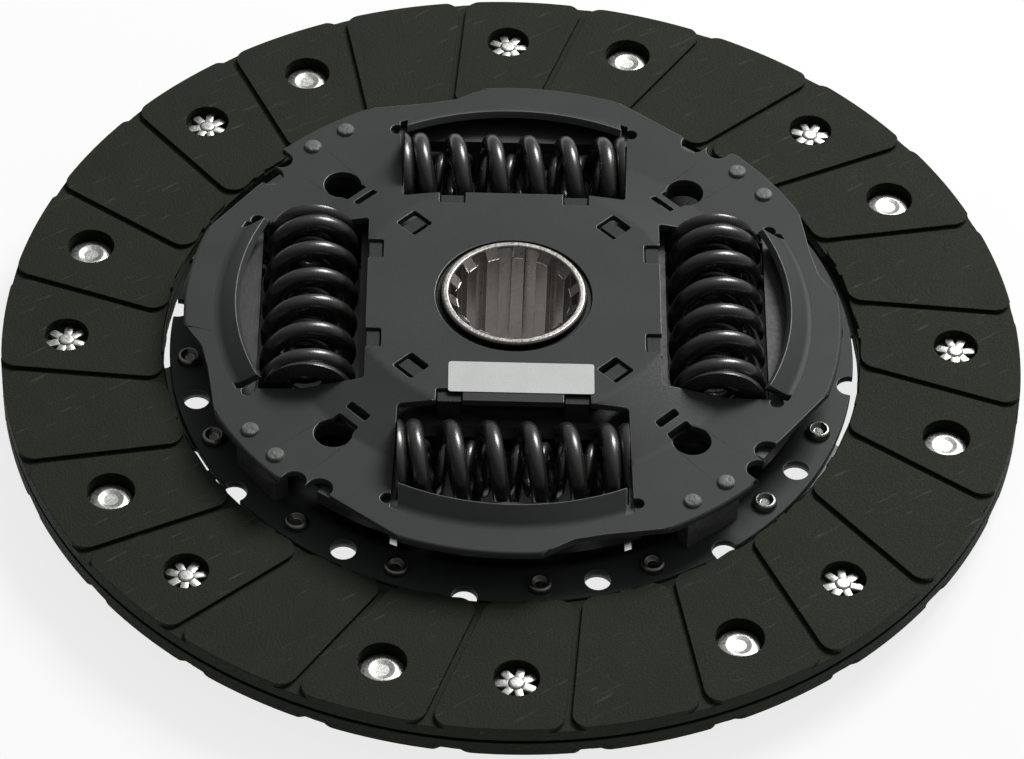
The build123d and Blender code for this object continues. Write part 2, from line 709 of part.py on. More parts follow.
with BuildPart() as rear_friction_ring:
    with BuildSketch(Plane.XY.offset(flange_rear_height)):
        Circle(ring_radius)
        Circle(ring_bore_radius, mode=Mode.SUBTRACT)
    extrude(amount=-ring_thickness)
    with BuildSketch(Plane.XY.offset(flange_rear_height)):
        Circle(collar_radius)
        Circle(ring_bore_radius, mode=Mode.SUBTRACT)
        with PolarLocations(lug_hole_distance, window_count, lug_angle):
            Rectangle(lug_depth, lug_side)
    extrude(amount=segment_front_height + lug_recess - flange_rear_height)
save(rear_friction_ring, "rear_friction_ring")

with BuildPart() as support_ring:
    with BuildSketch(Plane.XY.offset(drive_plate_front_height)):
        Circle(support_ring_outer_radius)
        Circle(support_ring_inner_radius, mode=Mode.SUBTRACT)
        with PolarLocations(lug_hole_distance, window_count, lug_angle):
            Rectangle(lug_hole_side, lug_hole_side, mode=Mode.SUBTRACT)
    extrude(amount=support_ring_thickness)
save(support_ring, "support_ring")


def disc_spring_section(outer_height, inner_height):
    """Sloping strip between two seats: its outer rim rests on one and its inner rim on the other."""
    lift = disc_spring_thickness if inner_height > outer_height else -disc_spring_thickness
    with BuildLine() as outline:
        Polyline(
            (disc_spring_outer_radius, outer_height),
            (hub_tooth_root_radius, inner_height - lift),
            (hub_tooth_root_radius, inner_height),
            (disc_spring_outer_radius, outer_height + lift),
            close=True,
        )
    make_face(outline.line.edges())


with BuildPart() as front_disc_spring:
    with BuildSketch(Plane.XZ):
        disc_spring_section(flange_front_height + ring_thickness, cover_inside_height)
    revolve(axis=Axis.Z)
save(front_disc_spring, "front_disc_spring")

with BuildPart() as rear_disc_spring:
    with BuildSketch(Plane.XZ):
        support_height = drive_plate_front_height + support_ring_thickness
        disc_spring_section(support_height, flange_rear_height - ring_thickness)
    revolve(axis=Axis.Z)
save(rear_disc_spring, "rear_disc_spring")

# Label: a thin blank sticker on the flat of the cover plate
with BuildPart() as label:
    with BuildSketch(Plane.XY.offset(cover_top_height)):
        with Locations((label_shift, label_window_offset - window_inner_distance)):
            RectangleRounded(label_length, label_width, label_corner_radius)
    extrude(amount=label_thickness)
save(label, "label")
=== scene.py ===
import math
import random

import bmesh
import bpy
from bpy.props import FloatProperty, FloatVectorProperty, IntProperty, PointerProperty
from mathutils import Matrix, Vector


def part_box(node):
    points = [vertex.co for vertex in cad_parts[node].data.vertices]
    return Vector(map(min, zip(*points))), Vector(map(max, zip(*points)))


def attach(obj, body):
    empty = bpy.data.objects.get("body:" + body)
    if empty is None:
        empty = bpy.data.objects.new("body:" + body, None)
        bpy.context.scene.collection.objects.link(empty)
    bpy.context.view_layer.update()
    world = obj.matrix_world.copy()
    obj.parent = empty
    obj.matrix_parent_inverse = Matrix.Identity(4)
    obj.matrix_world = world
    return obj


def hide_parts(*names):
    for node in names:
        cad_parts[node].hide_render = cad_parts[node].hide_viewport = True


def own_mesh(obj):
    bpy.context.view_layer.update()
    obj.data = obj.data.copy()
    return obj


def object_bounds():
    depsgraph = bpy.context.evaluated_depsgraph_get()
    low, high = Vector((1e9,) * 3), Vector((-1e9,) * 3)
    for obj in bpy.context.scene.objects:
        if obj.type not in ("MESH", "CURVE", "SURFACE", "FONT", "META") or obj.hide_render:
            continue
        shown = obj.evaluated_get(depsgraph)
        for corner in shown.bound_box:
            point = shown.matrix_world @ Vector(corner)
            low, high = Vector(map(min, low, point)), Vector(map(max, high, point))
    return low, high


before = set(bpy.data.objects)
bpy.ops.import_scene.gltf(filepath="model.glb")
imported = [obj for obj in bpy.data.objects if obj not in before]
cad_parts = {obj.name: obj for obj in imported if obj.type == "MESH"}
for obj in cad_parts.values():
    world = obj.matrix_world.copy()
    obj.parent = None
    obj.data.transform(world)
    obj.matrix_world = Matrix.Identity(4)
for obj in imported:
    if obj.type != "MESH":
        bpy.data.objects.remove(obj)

bl_info = {
    "name": "Clutch Disc",
    "version": (1, 0, 0),
    "blender": (4, 5, 0),
    "location": "3D Viewport > Sidebar > Clutch Disc",
    "description": "Models and finishes a clutch disc with a torsion damper around its packed frame",
    "category": "Add Mesh",
}

cad_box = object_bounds()

MM = 0.001
QUARTERS = 4
FULL_TURN = 2 * math.pi
DOUBLES = 0.001 * MM

# Fineness of the meshes: the longest steps on a round, the sides of rings, sleeves, holes and heads
ROUND_STEP = math.radians(9)
ARC_STEP = 2 * MM
RING_STEPS = 240
SLEEVE_STEPS = 120
HOLE_STEPS = 40
HEAD_STEPS = 36
SHANK_STEPS = 24
LIP_STEPS = 36

# How far a cutter reaches past the face it opens, and the least upright normal of a level face
OVERSHOOT = 2 * MM
LEVEL = 0.99999

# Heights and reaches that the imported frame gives
rear_facing_low, rear_facing_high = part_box("rear_facing")
front_facing_low, front_facing_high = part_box("front_facing")
drive_low, drive_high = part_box("drive_plate")
cover_low, cover_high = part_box("cover_plate")
hub_low, hub_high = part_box("hub")
flange_low, flange_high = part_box("hub_flange")
label_low, label_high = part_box("label")
FACING_RADIUS = front_facing_high.x
FACING_FACE = front_facing_high.z
SEGMENT_FRONT = front_facing_low.z
SEGMENT_REAR = rear_facing_high.z
COVER_RADIUS = cover_high.x
COVER_INSIDE = cover_low.z
COVER_TOP = label_low.z
DRIVE_RADIUS = drive_high.x
DRIVE_FACE = drive_high.z

# Friction facings
FACING_BORE = 68.4 * MM
GROOVES = 24
GROOVE_INNER_ANGLE = 10.9
GROOVE_OUTER_ANGLE = 6.0
FACING_RIVETS = 8
FACING_RIVET_CIRCLE = 87.45 * MM
TAIL_ANGLE = 0.75
HEAD_ANGLE = 29.25
TAIL_POCKET_RADIUS = 4.35 * MM
HEAD_HOLE_RADIUS = 4.65 * MM
POCKET_WEB = 0.8 * MM
SHANK_RADIUS = 2.0 * MM
SEGMENT_MIDDLE = 15.0

# Plates
SHEET = 1.5 * MM
DISH_FLAT_RADIUS = 32.0 * MM
DISH_SHOULDER_RADIUS = 46.5 * MM
DISH_BEND_RADIUS = 5.0 * MM
PLATE_BORE = 15.3 * MM
COVER_EDGE_ROUND = 0.6 * MM
DRIVE_EDGE_ROUND = 0.3 * MM
WINDOW_INNER = 28.7 * MM
WINDOW_ARC_CENTER = 4.2 * MM
WINDOW_ARC_RADIUS = 50.0 * MM
WINDOW_LIP_RADIUS = 54.0 * MM
WINDOW_HALF_LENGTH = 22.1 * MM
WINDOW_FLARE = 0.9 * MM
WINDOW_CORNER = 0.8 * MM
LIP_HALF_LENGTH = 21.6 * MM
LIP_ROOT = 0.4 * MM
LIP_BEND = 0.6 * MM
LIP_ROUND = 1.5 * SHEET
REAR_LIP_RISE = 1.5 * MM
COVER_LIP_RISE = 2.7 * MM
NOTCH_DEPTH = 3.1 * MM
NOTCH_WIDTH = 5.1 * MM
NOTCH_OFFSET = 12.25 * MM
NOTCH_CORNER = 0.5 * MM
RELIEF_RADIUS = 1.3 * MM
RELIEF_PLACE = (50.8 * MM, 23.6 * MM)
LUG_HOLE_CIRCLE = 27.8 * MM
LUG_HOLE_SIDE = 5.0 * MM
LUG_HOLE_CORNER = 0.5 * MM
KEYHOLE_CIRCLE = 48.4 * MM
KEYHOLE_RADIUS = 3.7 * MM
KEYHOLE_SLOT = 5.3 * MM
KEYHOLE_SLOT_END = 41.0 * MM
KEYHOLE_CORNER = 0.4 * MM
KEYHOLE_BAR = (42.55 * MM, 44.25 * MM)
CLOUD_LOBES = ((60.7 * MM, 53.2, 2.5 * MM), (62.3 * MM, 48.6, 2.3 * MM))
CLOUD_CUSPS = ((61.9 * MM, 2.2 * MM, 50.9), (61.0 * MM, 2.6 * MM, 55.2))
DEEP_BITE = ((65.2 * MM, 3.5, 0), (61.4 * MM, 10.8, 4 * MM), (61.4 * MM, 16.5, 4 * MM), (65.2 * MM, 30.0, 0))
FLAT_BITE = ((65.2 * MM, -34.5, 0), (61.1 * MM, -34.0, 0), (65.2 * MM, -16.5, 0))
DEEP_BITE_MIDDLE = 16
FLAT_BITE_MIDDLE = -28
BITE_REACH = 70.0 * MM
PEEPHOLE_CIRCLE = 63.4 * MM
PEEPHOLE_RADIUS = 2.45 * MM
EDGE_NOTCH_CIRCLE = 66.7 * MM
EDGE_NOTCH_ANGLE = 37.5

# Hub
HUB_RADIUS = 14.3 * MM
HUB_CHAMFER = 0.5 * MM
SPLINES = 14
SPLINE_ROOT = 12.6 * MM
SPLINE_LAND = 11.15 * MM
SPLINE_TOOTH = 2.62 * MM
SPLINE_FIRST_ANGLE = 85.6
SPLINE_ENTRY = 12.9 * MM
BELT_TEETH = 20
BELT_ROOT = 17.0 * MM
BELT_TIP = 18.6 * MM
BELT_TOOTH = 2.7 * MM

# Spacer tabs, staked over the plates
TAB_CIRCLE = COVER_RADIUS - 3.8 * MM
TAB_ANGLE = 38.1
TAB_THICKNESS = 3.0 * MM
TAB_WIDTH = 12.4 * MM
STAKE_SPREAD = 3.9
STAKE_RADIUS = 1.8 * MM
STAKE_RISE = 0.8 * MM

# Springs
SPRING_AXIS = 39.8 * MM
SPRING_HEIGHT = (flange_low.z + flange_high.z) / 2
SPRING_LENGTH = 44.0 * MM
CLOSED_TURNS = 1.3
OUTER_SPRING = {"coil": 7.65 * MM, "wire": 1.75 * MM, "pitch": 7.4 * MM, "turns": 5.0, "hand": 1}
INNER_SPRING = {"coil": 4.4 * MM, "wire": 1.1 * MM, "pitch": 4.6 * MM, "turns": 7.6, "hand": -1}

# Rivets
SEGMENT_RIVET_CIRCLE = 63.4 * MM
SEGMENT_RIVET_ANGLES = (5.0, 25.0)
SEGMENT_RIVET_HEAD = 2.4 * MM
SEGMENT_RIVET_RISE = 1.3 * MM
SEGMENT_RIVET_SHANK = 1.5 * MM
SEGMENT_RIVET_DISH = 0.35 * SEGMENT_RIVET_RISE
SEGMENT_THICKNESS = SEGMENT_FRONT - SEGMENT_REAR
HEAD_RIM = 0.6 * MM
HEAD_DOME = 0.5 * MM
HEAD_DIMPLE = 1.9 * MM
HEAD_DIMPLE_DEPTH = 0.3 * MM
CROWN_RADIUS = 1.75 * MM
CROWN_RISE = 1.25 * MM
PETAL_WIDTH = 1.85 * MM
PETAL_THICKNESS = 0.75 * MM
PETAL_TILT = math.radians(4)
PETAL_LIFT = 0.25 * MM

# Worn edges of sheet and hub
PLATE_EDGE = 0.18 * MM
HUB_EDGE = 0.15 * MM

# Rings of painted shade, each from where it starts to where it is full: on the hub's outer wall, and on the
# drive plate round the springs
HUB_WALL_SHADE = (HUB_RADIUS - 2 * HUB_EDGE, HUB_RADIUS - HUB_EDGE / 2)
DRIVE_SHADE_RING = (59.5 * MM, 58.0 * MM)

# Stage: the camera turns, rises and rolls as the photograph's did, in degrees
FLOOR_HALF_WIDTH = 4.0
FLOOR_GLOW = 0.8
FLOOR_DARK = (58.5 * MM, 61 * MM)
FLOOR_DARK_CENTER = (0, 12 * MM, 0)
# Painted pool of light on the floor round the shaft axis, seen through the hub's bore and in its wall
BORE_GLOW = 0.3
BORE_LIGHT = (12 * MM, 15 * MM)
KEY_PLACE = (0.50, 0.72, 0.9)
CAMERA_TURN = -1.493
CAMERA_RISE = 45.811
CAMERA_ROLL = 2.356
CAMERA_DISTANCE = 992.5 * MM
CAMERA_SHIFT = (0.308 * MM, -7.717 * MM)
CAMERA_LENS = 177.537
CAMERA_SENSOR = 36.0


def polar(radius, degrees, height=0.0):
    """Point at a radius and an angle in degrees round the shaft axis."""
    angle = math.radians(degrees)
    return Vector((radius * math.cos(angle), radius * math.sin(angle), height))


class ClutchFinishSettings(bpy.types.PropertyGroup):
    """Colours of the disc's materials."""

    lining: FloatVectorProperty(
        name="Lining", description="Ground friction lining", subtype="COLOR", default=(0.0125, 0.0165, 0.0095)
    )
    lining_scuff: FloatVectorProperty(
        name="Lining scuffs", description="Pale fibres and scuffs on the lining", subtype="COLOR",
        default=(0.050, 0.057, 0.044),
    )
    sheet: FloatVectorProperty(
        name="Plate steel", description="Phosphated sheet of both plates", subtype="COLOR",
        default=(0.041, 0.046, 0.044),
    )
    bright: FloatVectorProperty(
        name="Rivet plating", description="Bright plated rivets", subtype="COLOR", default=(0.60, 0.61, 0.57)
    )
    spring: FloatVectorProperty(
        name="Spring wire", description="Oiled black coil springs", subtype="COLOR",
        default=(0.009, 0.010, 0.0085),
    )
    hub: FloatVectorProperty(
        name="Hub steel", description="Turned and broached hub", subtype="COLOR", default=(0.42, 0.40, 0.37)
    )
    label: FloatVectorProperty(
        name="Label", description="Blank sticker", subtype="COLOR", default=(0.55, 0.56, 0.545)
    )


class ClutchFacingSettings(bpy.types.PropertyGroup):
    """Sizes of the friction facings that a user may change."""

    groove_width: FloatProperty(
        name="Groove width", description="Width of each groove between its mouths", subtype="DISTANCE",
        unit="LENGTH", default=1.3 * MM, min=0.2 * MM,
    )
    groove_depth: FloatProperty(
        name="Groove depth", description="Depth of the grooves below the face", subtype="DISTANCE",
        unit="LENGTH", default=0.9 * MM, min=0.1 * MM,
    )
    mouth_radius: FloatProperty(
        name="Mouth radius", description="Radius of the flare at both ends of a groove", subtype="DISTANCE",
        unit="LENGTH", default=3.2 * MM, min=0.1 * MM,
    )
    edge: FloatProperty(
        name="Worn edge", description="Width of the worn edge of the lining", subtype="DISTANCE",
        unit="LENGTH", default=0.12 * MM, min=0.0,
    )


class ClutchSpringSettings(bpy.types.PropertyGroup):
    """Mesh fineness of the coil springs."""

    steps: IntProperty(
        name="Steps a turn", description="Sections of wire in each turn", default=44, min=12
    )
    sides: IntProperty(
        name="Wire sides", description="Sides of the wire's section", default=18, min=6
    )


class ClutchRivetSettings(bpy.types.PropertyGroup):
    """Shape of the rivet tails and heads."""

    petals: IntProperty(name="Petals", description="Petals of a split rivet tail", default=7, min=3)
    tail_radius: FloatProperty(
        name="Tail radius", description="Reach of the petals from the rivet's axis", subtype="DISTANCE",
        unit="LENGTH", default=4.2 * MM, min=1 * MM,
    )
    head_radius: FloatProperty(
        name="Head radius", description="Radius of the round head in its through-hole", subtype="DISTANCE",
        unit="LENGTH", default=4.2 * MM, min=1 * MM,
    )


class ClutchStageSettings(bpy.types.PropertyGroup):
    """Key lamp and sky."""

    key_power: FloatProperty(
        name="Key power", description="Power of the soft lamp to the right and behind the disc",
        default=16.0, min=0.0,
    )
    key_size: FloatProperty(
        name="Key size", description="Side of the soft lamp", subtype="DISTANCE", unit="LENGTH",
        default=0.5, min=0.01,
    )
    sky_bright: FloatProperty(
        name="Bright sky", description="Strength of the sky round the lamp", default=0.45, min=0.0
    )
    sky_dim: FloatProperty(
        name="Dim sky", description="Strength of the sky opposite the lamp", default=0.07, min=0.0
    )


def gather(*shapes):
    """One bmesh that holds all the shapes, which are used up."""
    whole = bmesh.new()
    for shape in shapes:
        mesh = bpy.data.meshes.new("gathered")
        shape.to_mesh(mesh)
        shape.free()
        whole.from_mesh(mesh)
        bpy.data.meshes.remove(mesh)
    return whole


def placed(shape, matrix):
    """The shape, moved by a matrix."""
    bmesh.ops.transform(shape, matrix=matrix, verts=shape.verts)
    return shape


def outward(shape):
    """Merge doubles, drop edges that carry no face and turn all faces outwards."""
    bmesh.ops.remove_doubles(shape, verts=shape.verts, dist=DOUBLES)
    loose = [edge for edge in shape.edges if not edge.link_faces]
    bmesh.ops.delete(shape, geom=loose, context="EDGES")
    bmesh.ops.recalc_face_normals(shape, faces=shape.faces)
    return shape


def outline(corners):
    """Closed flat outline. Each corner is (x, y, radius), and its round is one vertex spun about a centre."""
    shape = bmesh.new()
    points = [Vector((x, y, 0)) for x, y, radius in corners]
    stretches = []
    for index, (x, y, radius) in enumerate(corners):
        here = points[index]
        before = (points[index - 1] - here).normalized()
        after = (points[(index + 1) % len(points)] - here).normalized()
        turn = math.pi - before.angle(after)
        if radius == 0:
            first = last = shape.verts.new(here)
        else:
            first = shape.verts.new(here + before * radius * math.tan(turn / 2))
            centre = here + (before + after).normalized() * radius / math.cos(turn / 2)
            way = 1 if before.cross(after).z < 0 else -1
            steps = max(4, round(turn / ROUND_STEP), round(turn * radius / ARC_STEP))
            made = bmesh.ops.spin(
                shape, geom=[first], cent=centre, axis=(0, 0, 1), angle=way * turn, steps=steps
            )
            last = made["geom_last"][0]
        stretches.append((first, last))
    for index, (first, last) in enumerate(stretches):
        shape.edges.new((stretches[index - 1][1], first))
    bmesh.ops.remove_doubles(shape, verts=shape.verts, dist=DOUBLES)
    return shape


def raised(shape, low, high):
    """Solid prism between two heights over a flat outline."""
    made = bmesh.ops.contextual_create(shape, geom=shape.edges[:])
    face = made["faces"][0]
    bmesh.ops.translate(shape, verts=shape.verts, vec=(0, 0, low))
    grown = bmesh.ops.extrude_face_region(shape, geom=[face])
    top = [item for item in grown["geom"] if isinstance(item, bmesh.types.BMVert)]
    bmesh.ops.translate(shape, verts=top, vec=(0, 0, high - low))
    return outward(shape)


def prism(corners, low, high):
    """Solid prism between two heights with rounded corners."""
    return raised(outline(corners), low, high)


def column(radius, low, high, place=(0, 0), segments=HOLE_STEPS, top_radius=None):
    """Round column, or a cone if its top has another radius."""
    shape = bmesh.new()
    middle = Matrix.Translation((place[0], place[1], (low + high) / 2))
    bmesh.ops.create_cone(
        shape, cap_ends=True, segments=segments, radius1=radius,
        radius2=radius if top_radius is None else top_radius, depth=high - low, matrix=middle,
    )
    return shape


def turned(corners, steps=RING_STEPS):
    """Solid turned about the shaft axis from a section whose corners are (radius, height, round)."""
    shape = outline(corners)
    bmesh.ops.rotate(shape, verts=shape.verts, cent=(0, 0, 0), matrix=Matrix.Rotation(math.pi / 2, 3, "X"))
    bmesh.ops.spin(
        shape, geom=shape.verts[:] + shape.edges[:], cent=(0, 0, 0), axis=(0, 0, 1), angle=FULL_TURN,
        steps=steps, use_merge=True,
    )
    return outward(shape)


def repeated(shape, count, first_angle=0.0):
    """The shape and its copies, evenly spaced round the shaft axis."""
    bmesh.ops.rotate(
        shape, verts=shape.verts, cent=(0, 0, 0), matrix=Matrix.Rotation(math.radians(first_angle), 3, "Z")
    )
    bmesh.ops.spin(
        shape, geom=shape.verts[:] + shape.edges[:] + shape.faces[:], cent=(0, 0, 0), axis=(0, 0, 1),
        angle=FULL_TURN * (count - 1) / count, steps=count - 1, use_duplicate=True,
    )
    return shape


def trimmed(shape, point, outside):
    """Cut off what lies outside a plane and close the cut."""
    cut = bmesh.ops.bisect_plane(
        shape, geom=shape.verts[:] + shape.edges[:] + shape.faces[:], plane_co=point, plane_no=outside,
        clear_outer=True,
    )
    rim = [item for item in cut["geom_cut"] if isinstance(item, bmesh.types.BMEdge)]
    bmesh.ops.holes_fill(shape, edges=rim)


def loose_object(shape, name):
    """Object that holds a bmesh for the time of a Boolean."""
    mesh = bpy.data.meshes.new(name)
    shape.to_mesh(mesh)
    shape.free()
    holder = bpy.data.objects.new(name, mesh)
    bpy.context.scene.collection.objects.link(holder)
    return holder


def in_quarters(corners, low, high, first_angle=0.0):
    """Four equal prisms, one in each quarter of the disc."""
    return repeated(prism(corners, low, high), QUARTERS, first_angle)


def combined(body, tool, operation="DIFFERENCE"):
    """Boolean of two closed shapes, which are used up."""
    carrier = loose_object(body, "boolean_body")
    helper = loose_object(tool, "boolean_tool")
    modifier = carrier.modifiers.new("Combine", "BOOLEAN")
    modifier.operation = operation
    modifier.solver = "EXACT"
    modifier.object = helper
    depsgraph = bpy.context.evaluated_depsgraph_get()
    mesh = bpy.data.meshes.new_from_object(carrier.evaluated_get(depsgraph))
    result = bmesh.new()
    result.from_mesh(mesh)
    meshes = (mesh, carrier.data, helper.data)
    bpy.data.objects.remove(carrier)
    bpy.data.objects.remove(helper)
    for used in meshes:
        bpy.data.meshes.remove(used)
    bmesh.ops.remove_doubles(result, verts=result.verts, dist=2 * DOUBLES)
    return result


def finish_piece(shape, name, body, material, nodes, edge=0.0, sharp_angle=32.0, edge_material=None):
    """Make the shape a piece of the disc that rides on a body and stands for its CAD nodes."""
    mesh = bpy.data.meshes.new(name)
    shape.to_mesh(mesh)
    shape.free()
    mesh.materials.append(material)
    for polygon in mesh.polygons:
        polygon.use_smooth = abs(polygon.normal.z) < LEVEL
    piece = bpy.data.objects.new(name, mesh)
    bpy.context.scene.collection.objects.link(piece)
    if edge > 0:
        bevel = piece.modifiers.new("Edge", "BEVEL")
        bevel.width = edge
        bevel.segments = 2
        bevel.profile = 0.5
        bevel.limit_method = "ANGLE"
        bevel.angle_limit = math.radians(sharp_angle)
        bevel.use_clamp_overlap = False
        bevel.harden_normals = False
        if edge_material is not None:
            mesh.materials.append(edge_material)
            bevel.material = 1
        level = piece.modifiers.new("Level", "WEIGHTED_NORMAL")
        level.keep_sharp = True
    else:
        mesh.set_sharp_from_angle(angle=math.radians(sharp_angle))
    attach(piece, body)
    if nodes:
        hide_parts(*nodes)
    return piece


def link(tree, source, output, target, entry):
    """Join two nodes by the names or numbers of their sockets."""
    tree.links.new(source.outputs[output], target.inputs[entry])


def new_node(tree, kind, operation=None, **values):
    """Shader node with its operation, and its constants by the sockets' names."""
    node = tree.nodes.new("ShaderNode" + kind)
    if operation is not None:
        node.operation = operation
    for name, value in values.items():
        node.inputs[name.replace("_", " ")].default_value = value
    return node


def math_node(tree, operation, first, second):
    """Math node whose inputs are numbers or (node, output) pairs."""
    node = new_node(tree, "Math", operation)
    for entry, value in enumerate((first, second)):
        if isinstance(value, tuple):
            link(tree, *value, node, entry)
        else:
            node.inputs[entry].default_value = value
    return node


def mixed_color(tree, mask, first, second):
    """Colour that turns from the first to the second where the mask is full, all (node, output) pairs."""
    mix = new_node(tree, "Mix")
    mix.data_type = "RGBA"
    link(tree, *mask, mix, "Factor")
    for source, entry in ((first, 6), (second, 7)):
        link(tree, *source, mix, entry)
    return mix, 2


def shader_group(name, entries, results):
    """Shader group whose sockets are given by name, with a number as default, or None for a colour."""
    tree = bpy.data.node_groups.new(name, "ShaderNodeTree")
    for way, sockets in (("INPUT", entries), ("OUTPUT", results)):
        for title, value in sockets.items():
            kind = "NodeSocketColor" if value is None else "NodeSocketFloat"
            made = tree.interface.new_socket(name=title, in_out=way, socket_type=kind)
            if value is not None:
                made.default_value = value
    return tree, tree.nodes.new("NodeGroupInput"), tree.nodes.new("NodeGroupOutput")


def mottle_group():
    """Two colours mixed by soft patches and fine grain."""
    if "Mottle" in bpy.data.node_groups:
        return bpy.data.node_groups["Mottle"]
    tree, entry, out = shader_group(
        "Mottle",
        {
            "Main Color": None, "Second Color": None, "Patch Size": 8 * MM, "Grain Size": 0.4 * MM,
            "Patch Share": 0.5, "Grain Share": 0.3,
        },
        {"Color": None, "Grain": 0.0},
    )
    place = new_node(tree, "TexCoord")
    layers = []
    for layer, detail in (("Patch", 4.0), ("Grain", 2.0)):
        scale = math_node(tree, "DIVIDE", 1.0, (entry, f"{layer} Size"))
        noise = new_node(tree, "TexNoise", Detail=detail, Roughness=0.6)
        link(tree, place, "Object", noise, "Vector")
        link(tree, scale, 0, noise, "Scale")
        spread = new_node(tree, "MapRange", From_Min=0.35, From_Max=0.65)
        link(tree, noise, "Fac", spread, "Value")
        layers.append((spread, math_node(tree, "MULTIPLY", (spread, 0), (entry, f"{layer} Share"))))
    total = math_node(tree, "ADD", (layers[0][1], 0), (layers[1][1], 0))
    color = mixed_color(tree, (total, 0), (entry, "Main Color"), (entry, "Second Color"))
    link(tree, *color, out, "Color")
    link(tree, layers[1][0], 0, out, "Grain")
    return tree


def streak_group():
    """Mask of thin streaks that run along one direction."""
    if "Streaks" in bpy.data.node_groups:
        return bpy.data.node_groups["Streaks"]
    tree, entry, out = shader_group(
        "Streaks", {"Turn": 0.0, "Width": 0.5 * MM, "Stretch": 14.0, "Rarity": 0.62}, {"Mask": 0.0}
    )
    place = new_node(tree, "TexCoord")
    turn = new_node(tree, "VectorRotate")
    turn.rotation_type = "Z_AXIS"
    link(tree, place, "Object", turn, "Vector")
    link(tree, entry, "Turn", turn, "Angle")
    parts = new_node(tree, "SeparateXYZ")
    link(tree, turn, 0, parts, 0)
    along = math_node(tree, "DIVIDE", (parts, "X"), (entry, "Stretch"))
    joined = new_node(tree, "CombineXYZ")
    link(tree, along, 0, joined, "X")
    link(tree, parts, "Y", joined, "Y")
    link(tree, parts, "Z", joined, "Z")
    scale = math_node(tree, "DIVIDE", 1.0, (entry, "Width"))
    noise = new_node(tree, "TexNoise", Detail=2.0)
    link(tree, joined, 0, noise, "Vector")
    link(tree, scale, 0, noise, "Scale")
    ramp = new_node(tree, "MapRange", From_Max=0.80)
    link(tree, noise, "Fac", ramp, "Value")
    link(tree, entry, "Rarity", ramp, "From Min")
    link(tree, ramp, 0, out, "Mask")
    return tree


def group_node(tree, group, values):
    """A shader group in a material, with its own values by socket name."""
    node = new_node(tree, "Group")
    node.node_tree = group
    for name, value in values.items():
        node.inputs[name].default_value = value if isinstance(value, (int, float)) else (*value, 1.0)
    return node


def tinted(color, share):
    """A colour made paler or darker."""
    return [share * part for part in color]


def mottled_material(name, colors, sizes, shares, roughness, relief, specular=0.5, metallic=0.0):
    """Material that varies by soft patches and fine grain, which are given in this order.

    Colours and roughness are pairs to vary between, and the relief is the depth of the grain.
    """
    material = bpy.data.materials.new(name)
    material.use_nodes = True
    tree = material.node_tree
    shader = tree.nodes["Principled BSDF"]
    shader.inputs["Metallic"].default_value = metallic
    shader.inputs["Specular IOR Level"].default_value = specular
    base = group_node(tree, mottle_group(), {
        "Main Color": colors[0], "Second Color": colors[1], "Patch Size": sizes[0], "Grain Size": sizes[1],
        "Patch Share": shares[0], "Grain Share": shares[1],
    })
    link(tree, base, "Color", shader, "Base Color")
    spread = new_node(tree, "MapRange", To_Min=roughness[0], To_Max=roughness[1])
    link(tree, base, "Grain", spread, "Value")
    link(tree, spread, 0, shader, "Roughness")
    bump = new_node(tree, "Bump", Distance=relief)
    link(tree, base, "Grain", bump, "Height")
    link(tree, bump, "Normal", shader, "Normal")
    return material


def recolored(material):
    """A material's tree, its shader, and the (node, output) pair that its base colour comes from."""
    tree = material.node_tree
    shader = tree.nodes["Principled BSDF"]
    color = shader.inputs["Base Color"].links[0]
    return tree, shader, (color.from_node, color.from_socket.name)


def darkened(material, ring, share):
    """Darken a material's colour to a share of itself across a ring round the shaft axis: painted shade."""
    tree, shader, plain = recolored(material)
    place = new_node(tree, "TexCoord")
    level = new_node(tree, "VectorMath", "MULTIPLY")
    level.inputs[1].default_value = (1.0, 1.0, 0.0)
    link(tree, place, "Object", level, 0)
    distance = new_node(tree, "VectorMath", "LENGTH")
    link(tree, level, 0, distance, 0)
    mask = new_node(tree, "MapRange", From_Min=ring[0], From_Max=ring[1], To_Min=1.0, To_Max=share)
    link(tree, distance, "Value", mask, "Value")
    dark = new_node(tree, "VectorMath", "SCALE")
    link(tree, *plain, dark, 0)
    link(tree, mask, 0, dark, "Scale")
    link(tree, dark, 0, shader, "Base Color")
    return material


def lining_material():
    """Moulded friction lining: dark, fine-grained, with pale fibres and faint scuffs."""
    colors = bpy.context.scene.clutch_finish
    material = mottled_material(
        "Friction lining", (colors.lining, tinted(colors.lining, 1.7)), (14 * MM, 0.45 * MM), (0.25, 0.55),
        (0.62, 0.82), 0.05 * MM, specular=0.14,
    )
    tree, shader, plain = recolored(material)
    scuffs = group_node(tree, streak_group(), {
        "Turn": math.radians(-35), "Width": 0.8 * MM, "Stretch": 9.0, "Rarity": 0.66,
    })
    pale = new_node(tree, "RGB")
    pale.outputs[0].default_value = (*colors.lining_scuff, 1.0)
    color = mixed_color(tree, (scuffs, "Mask"), plain, (pale, 0))
    link(tree, *color, shader, "Base Color")
    return material


def sheet_material(name):
    """Phosphated and oiled sheet steel."""
    color = bpy.context.scene.clutch_finish.sheet
    return mottled_material(
        name, (color, tinted(color, 1.35)), (20 * MM, 0.35 * MM), (0.35, 0.25), (0.40, 0.55), 0.006 * MM,
        specular=0.10,
    )


def steel_material(name, color, roughness, grain, relief, metallic=1.0):
    """Bare or plated steel with a mottled, finely pitted surface."""
    colors = (tinted(color, 0.78), color)
    return mottled_material(
        name, colors, (8 * grain, grain), (0.5, 0.5), roughness, relief, metallic=metallic
    )


def worn_edge_material():
    """Sheet steel rubbed paler along its edges."""
    color = tinted(bpy.context.scene.clutch_finish.sheet, 2.0)
    return steel_material("Worn sheet edge", color, (0.35, 0.50), 1.5 * MM, 0.004 * MM, metallic=0.0)


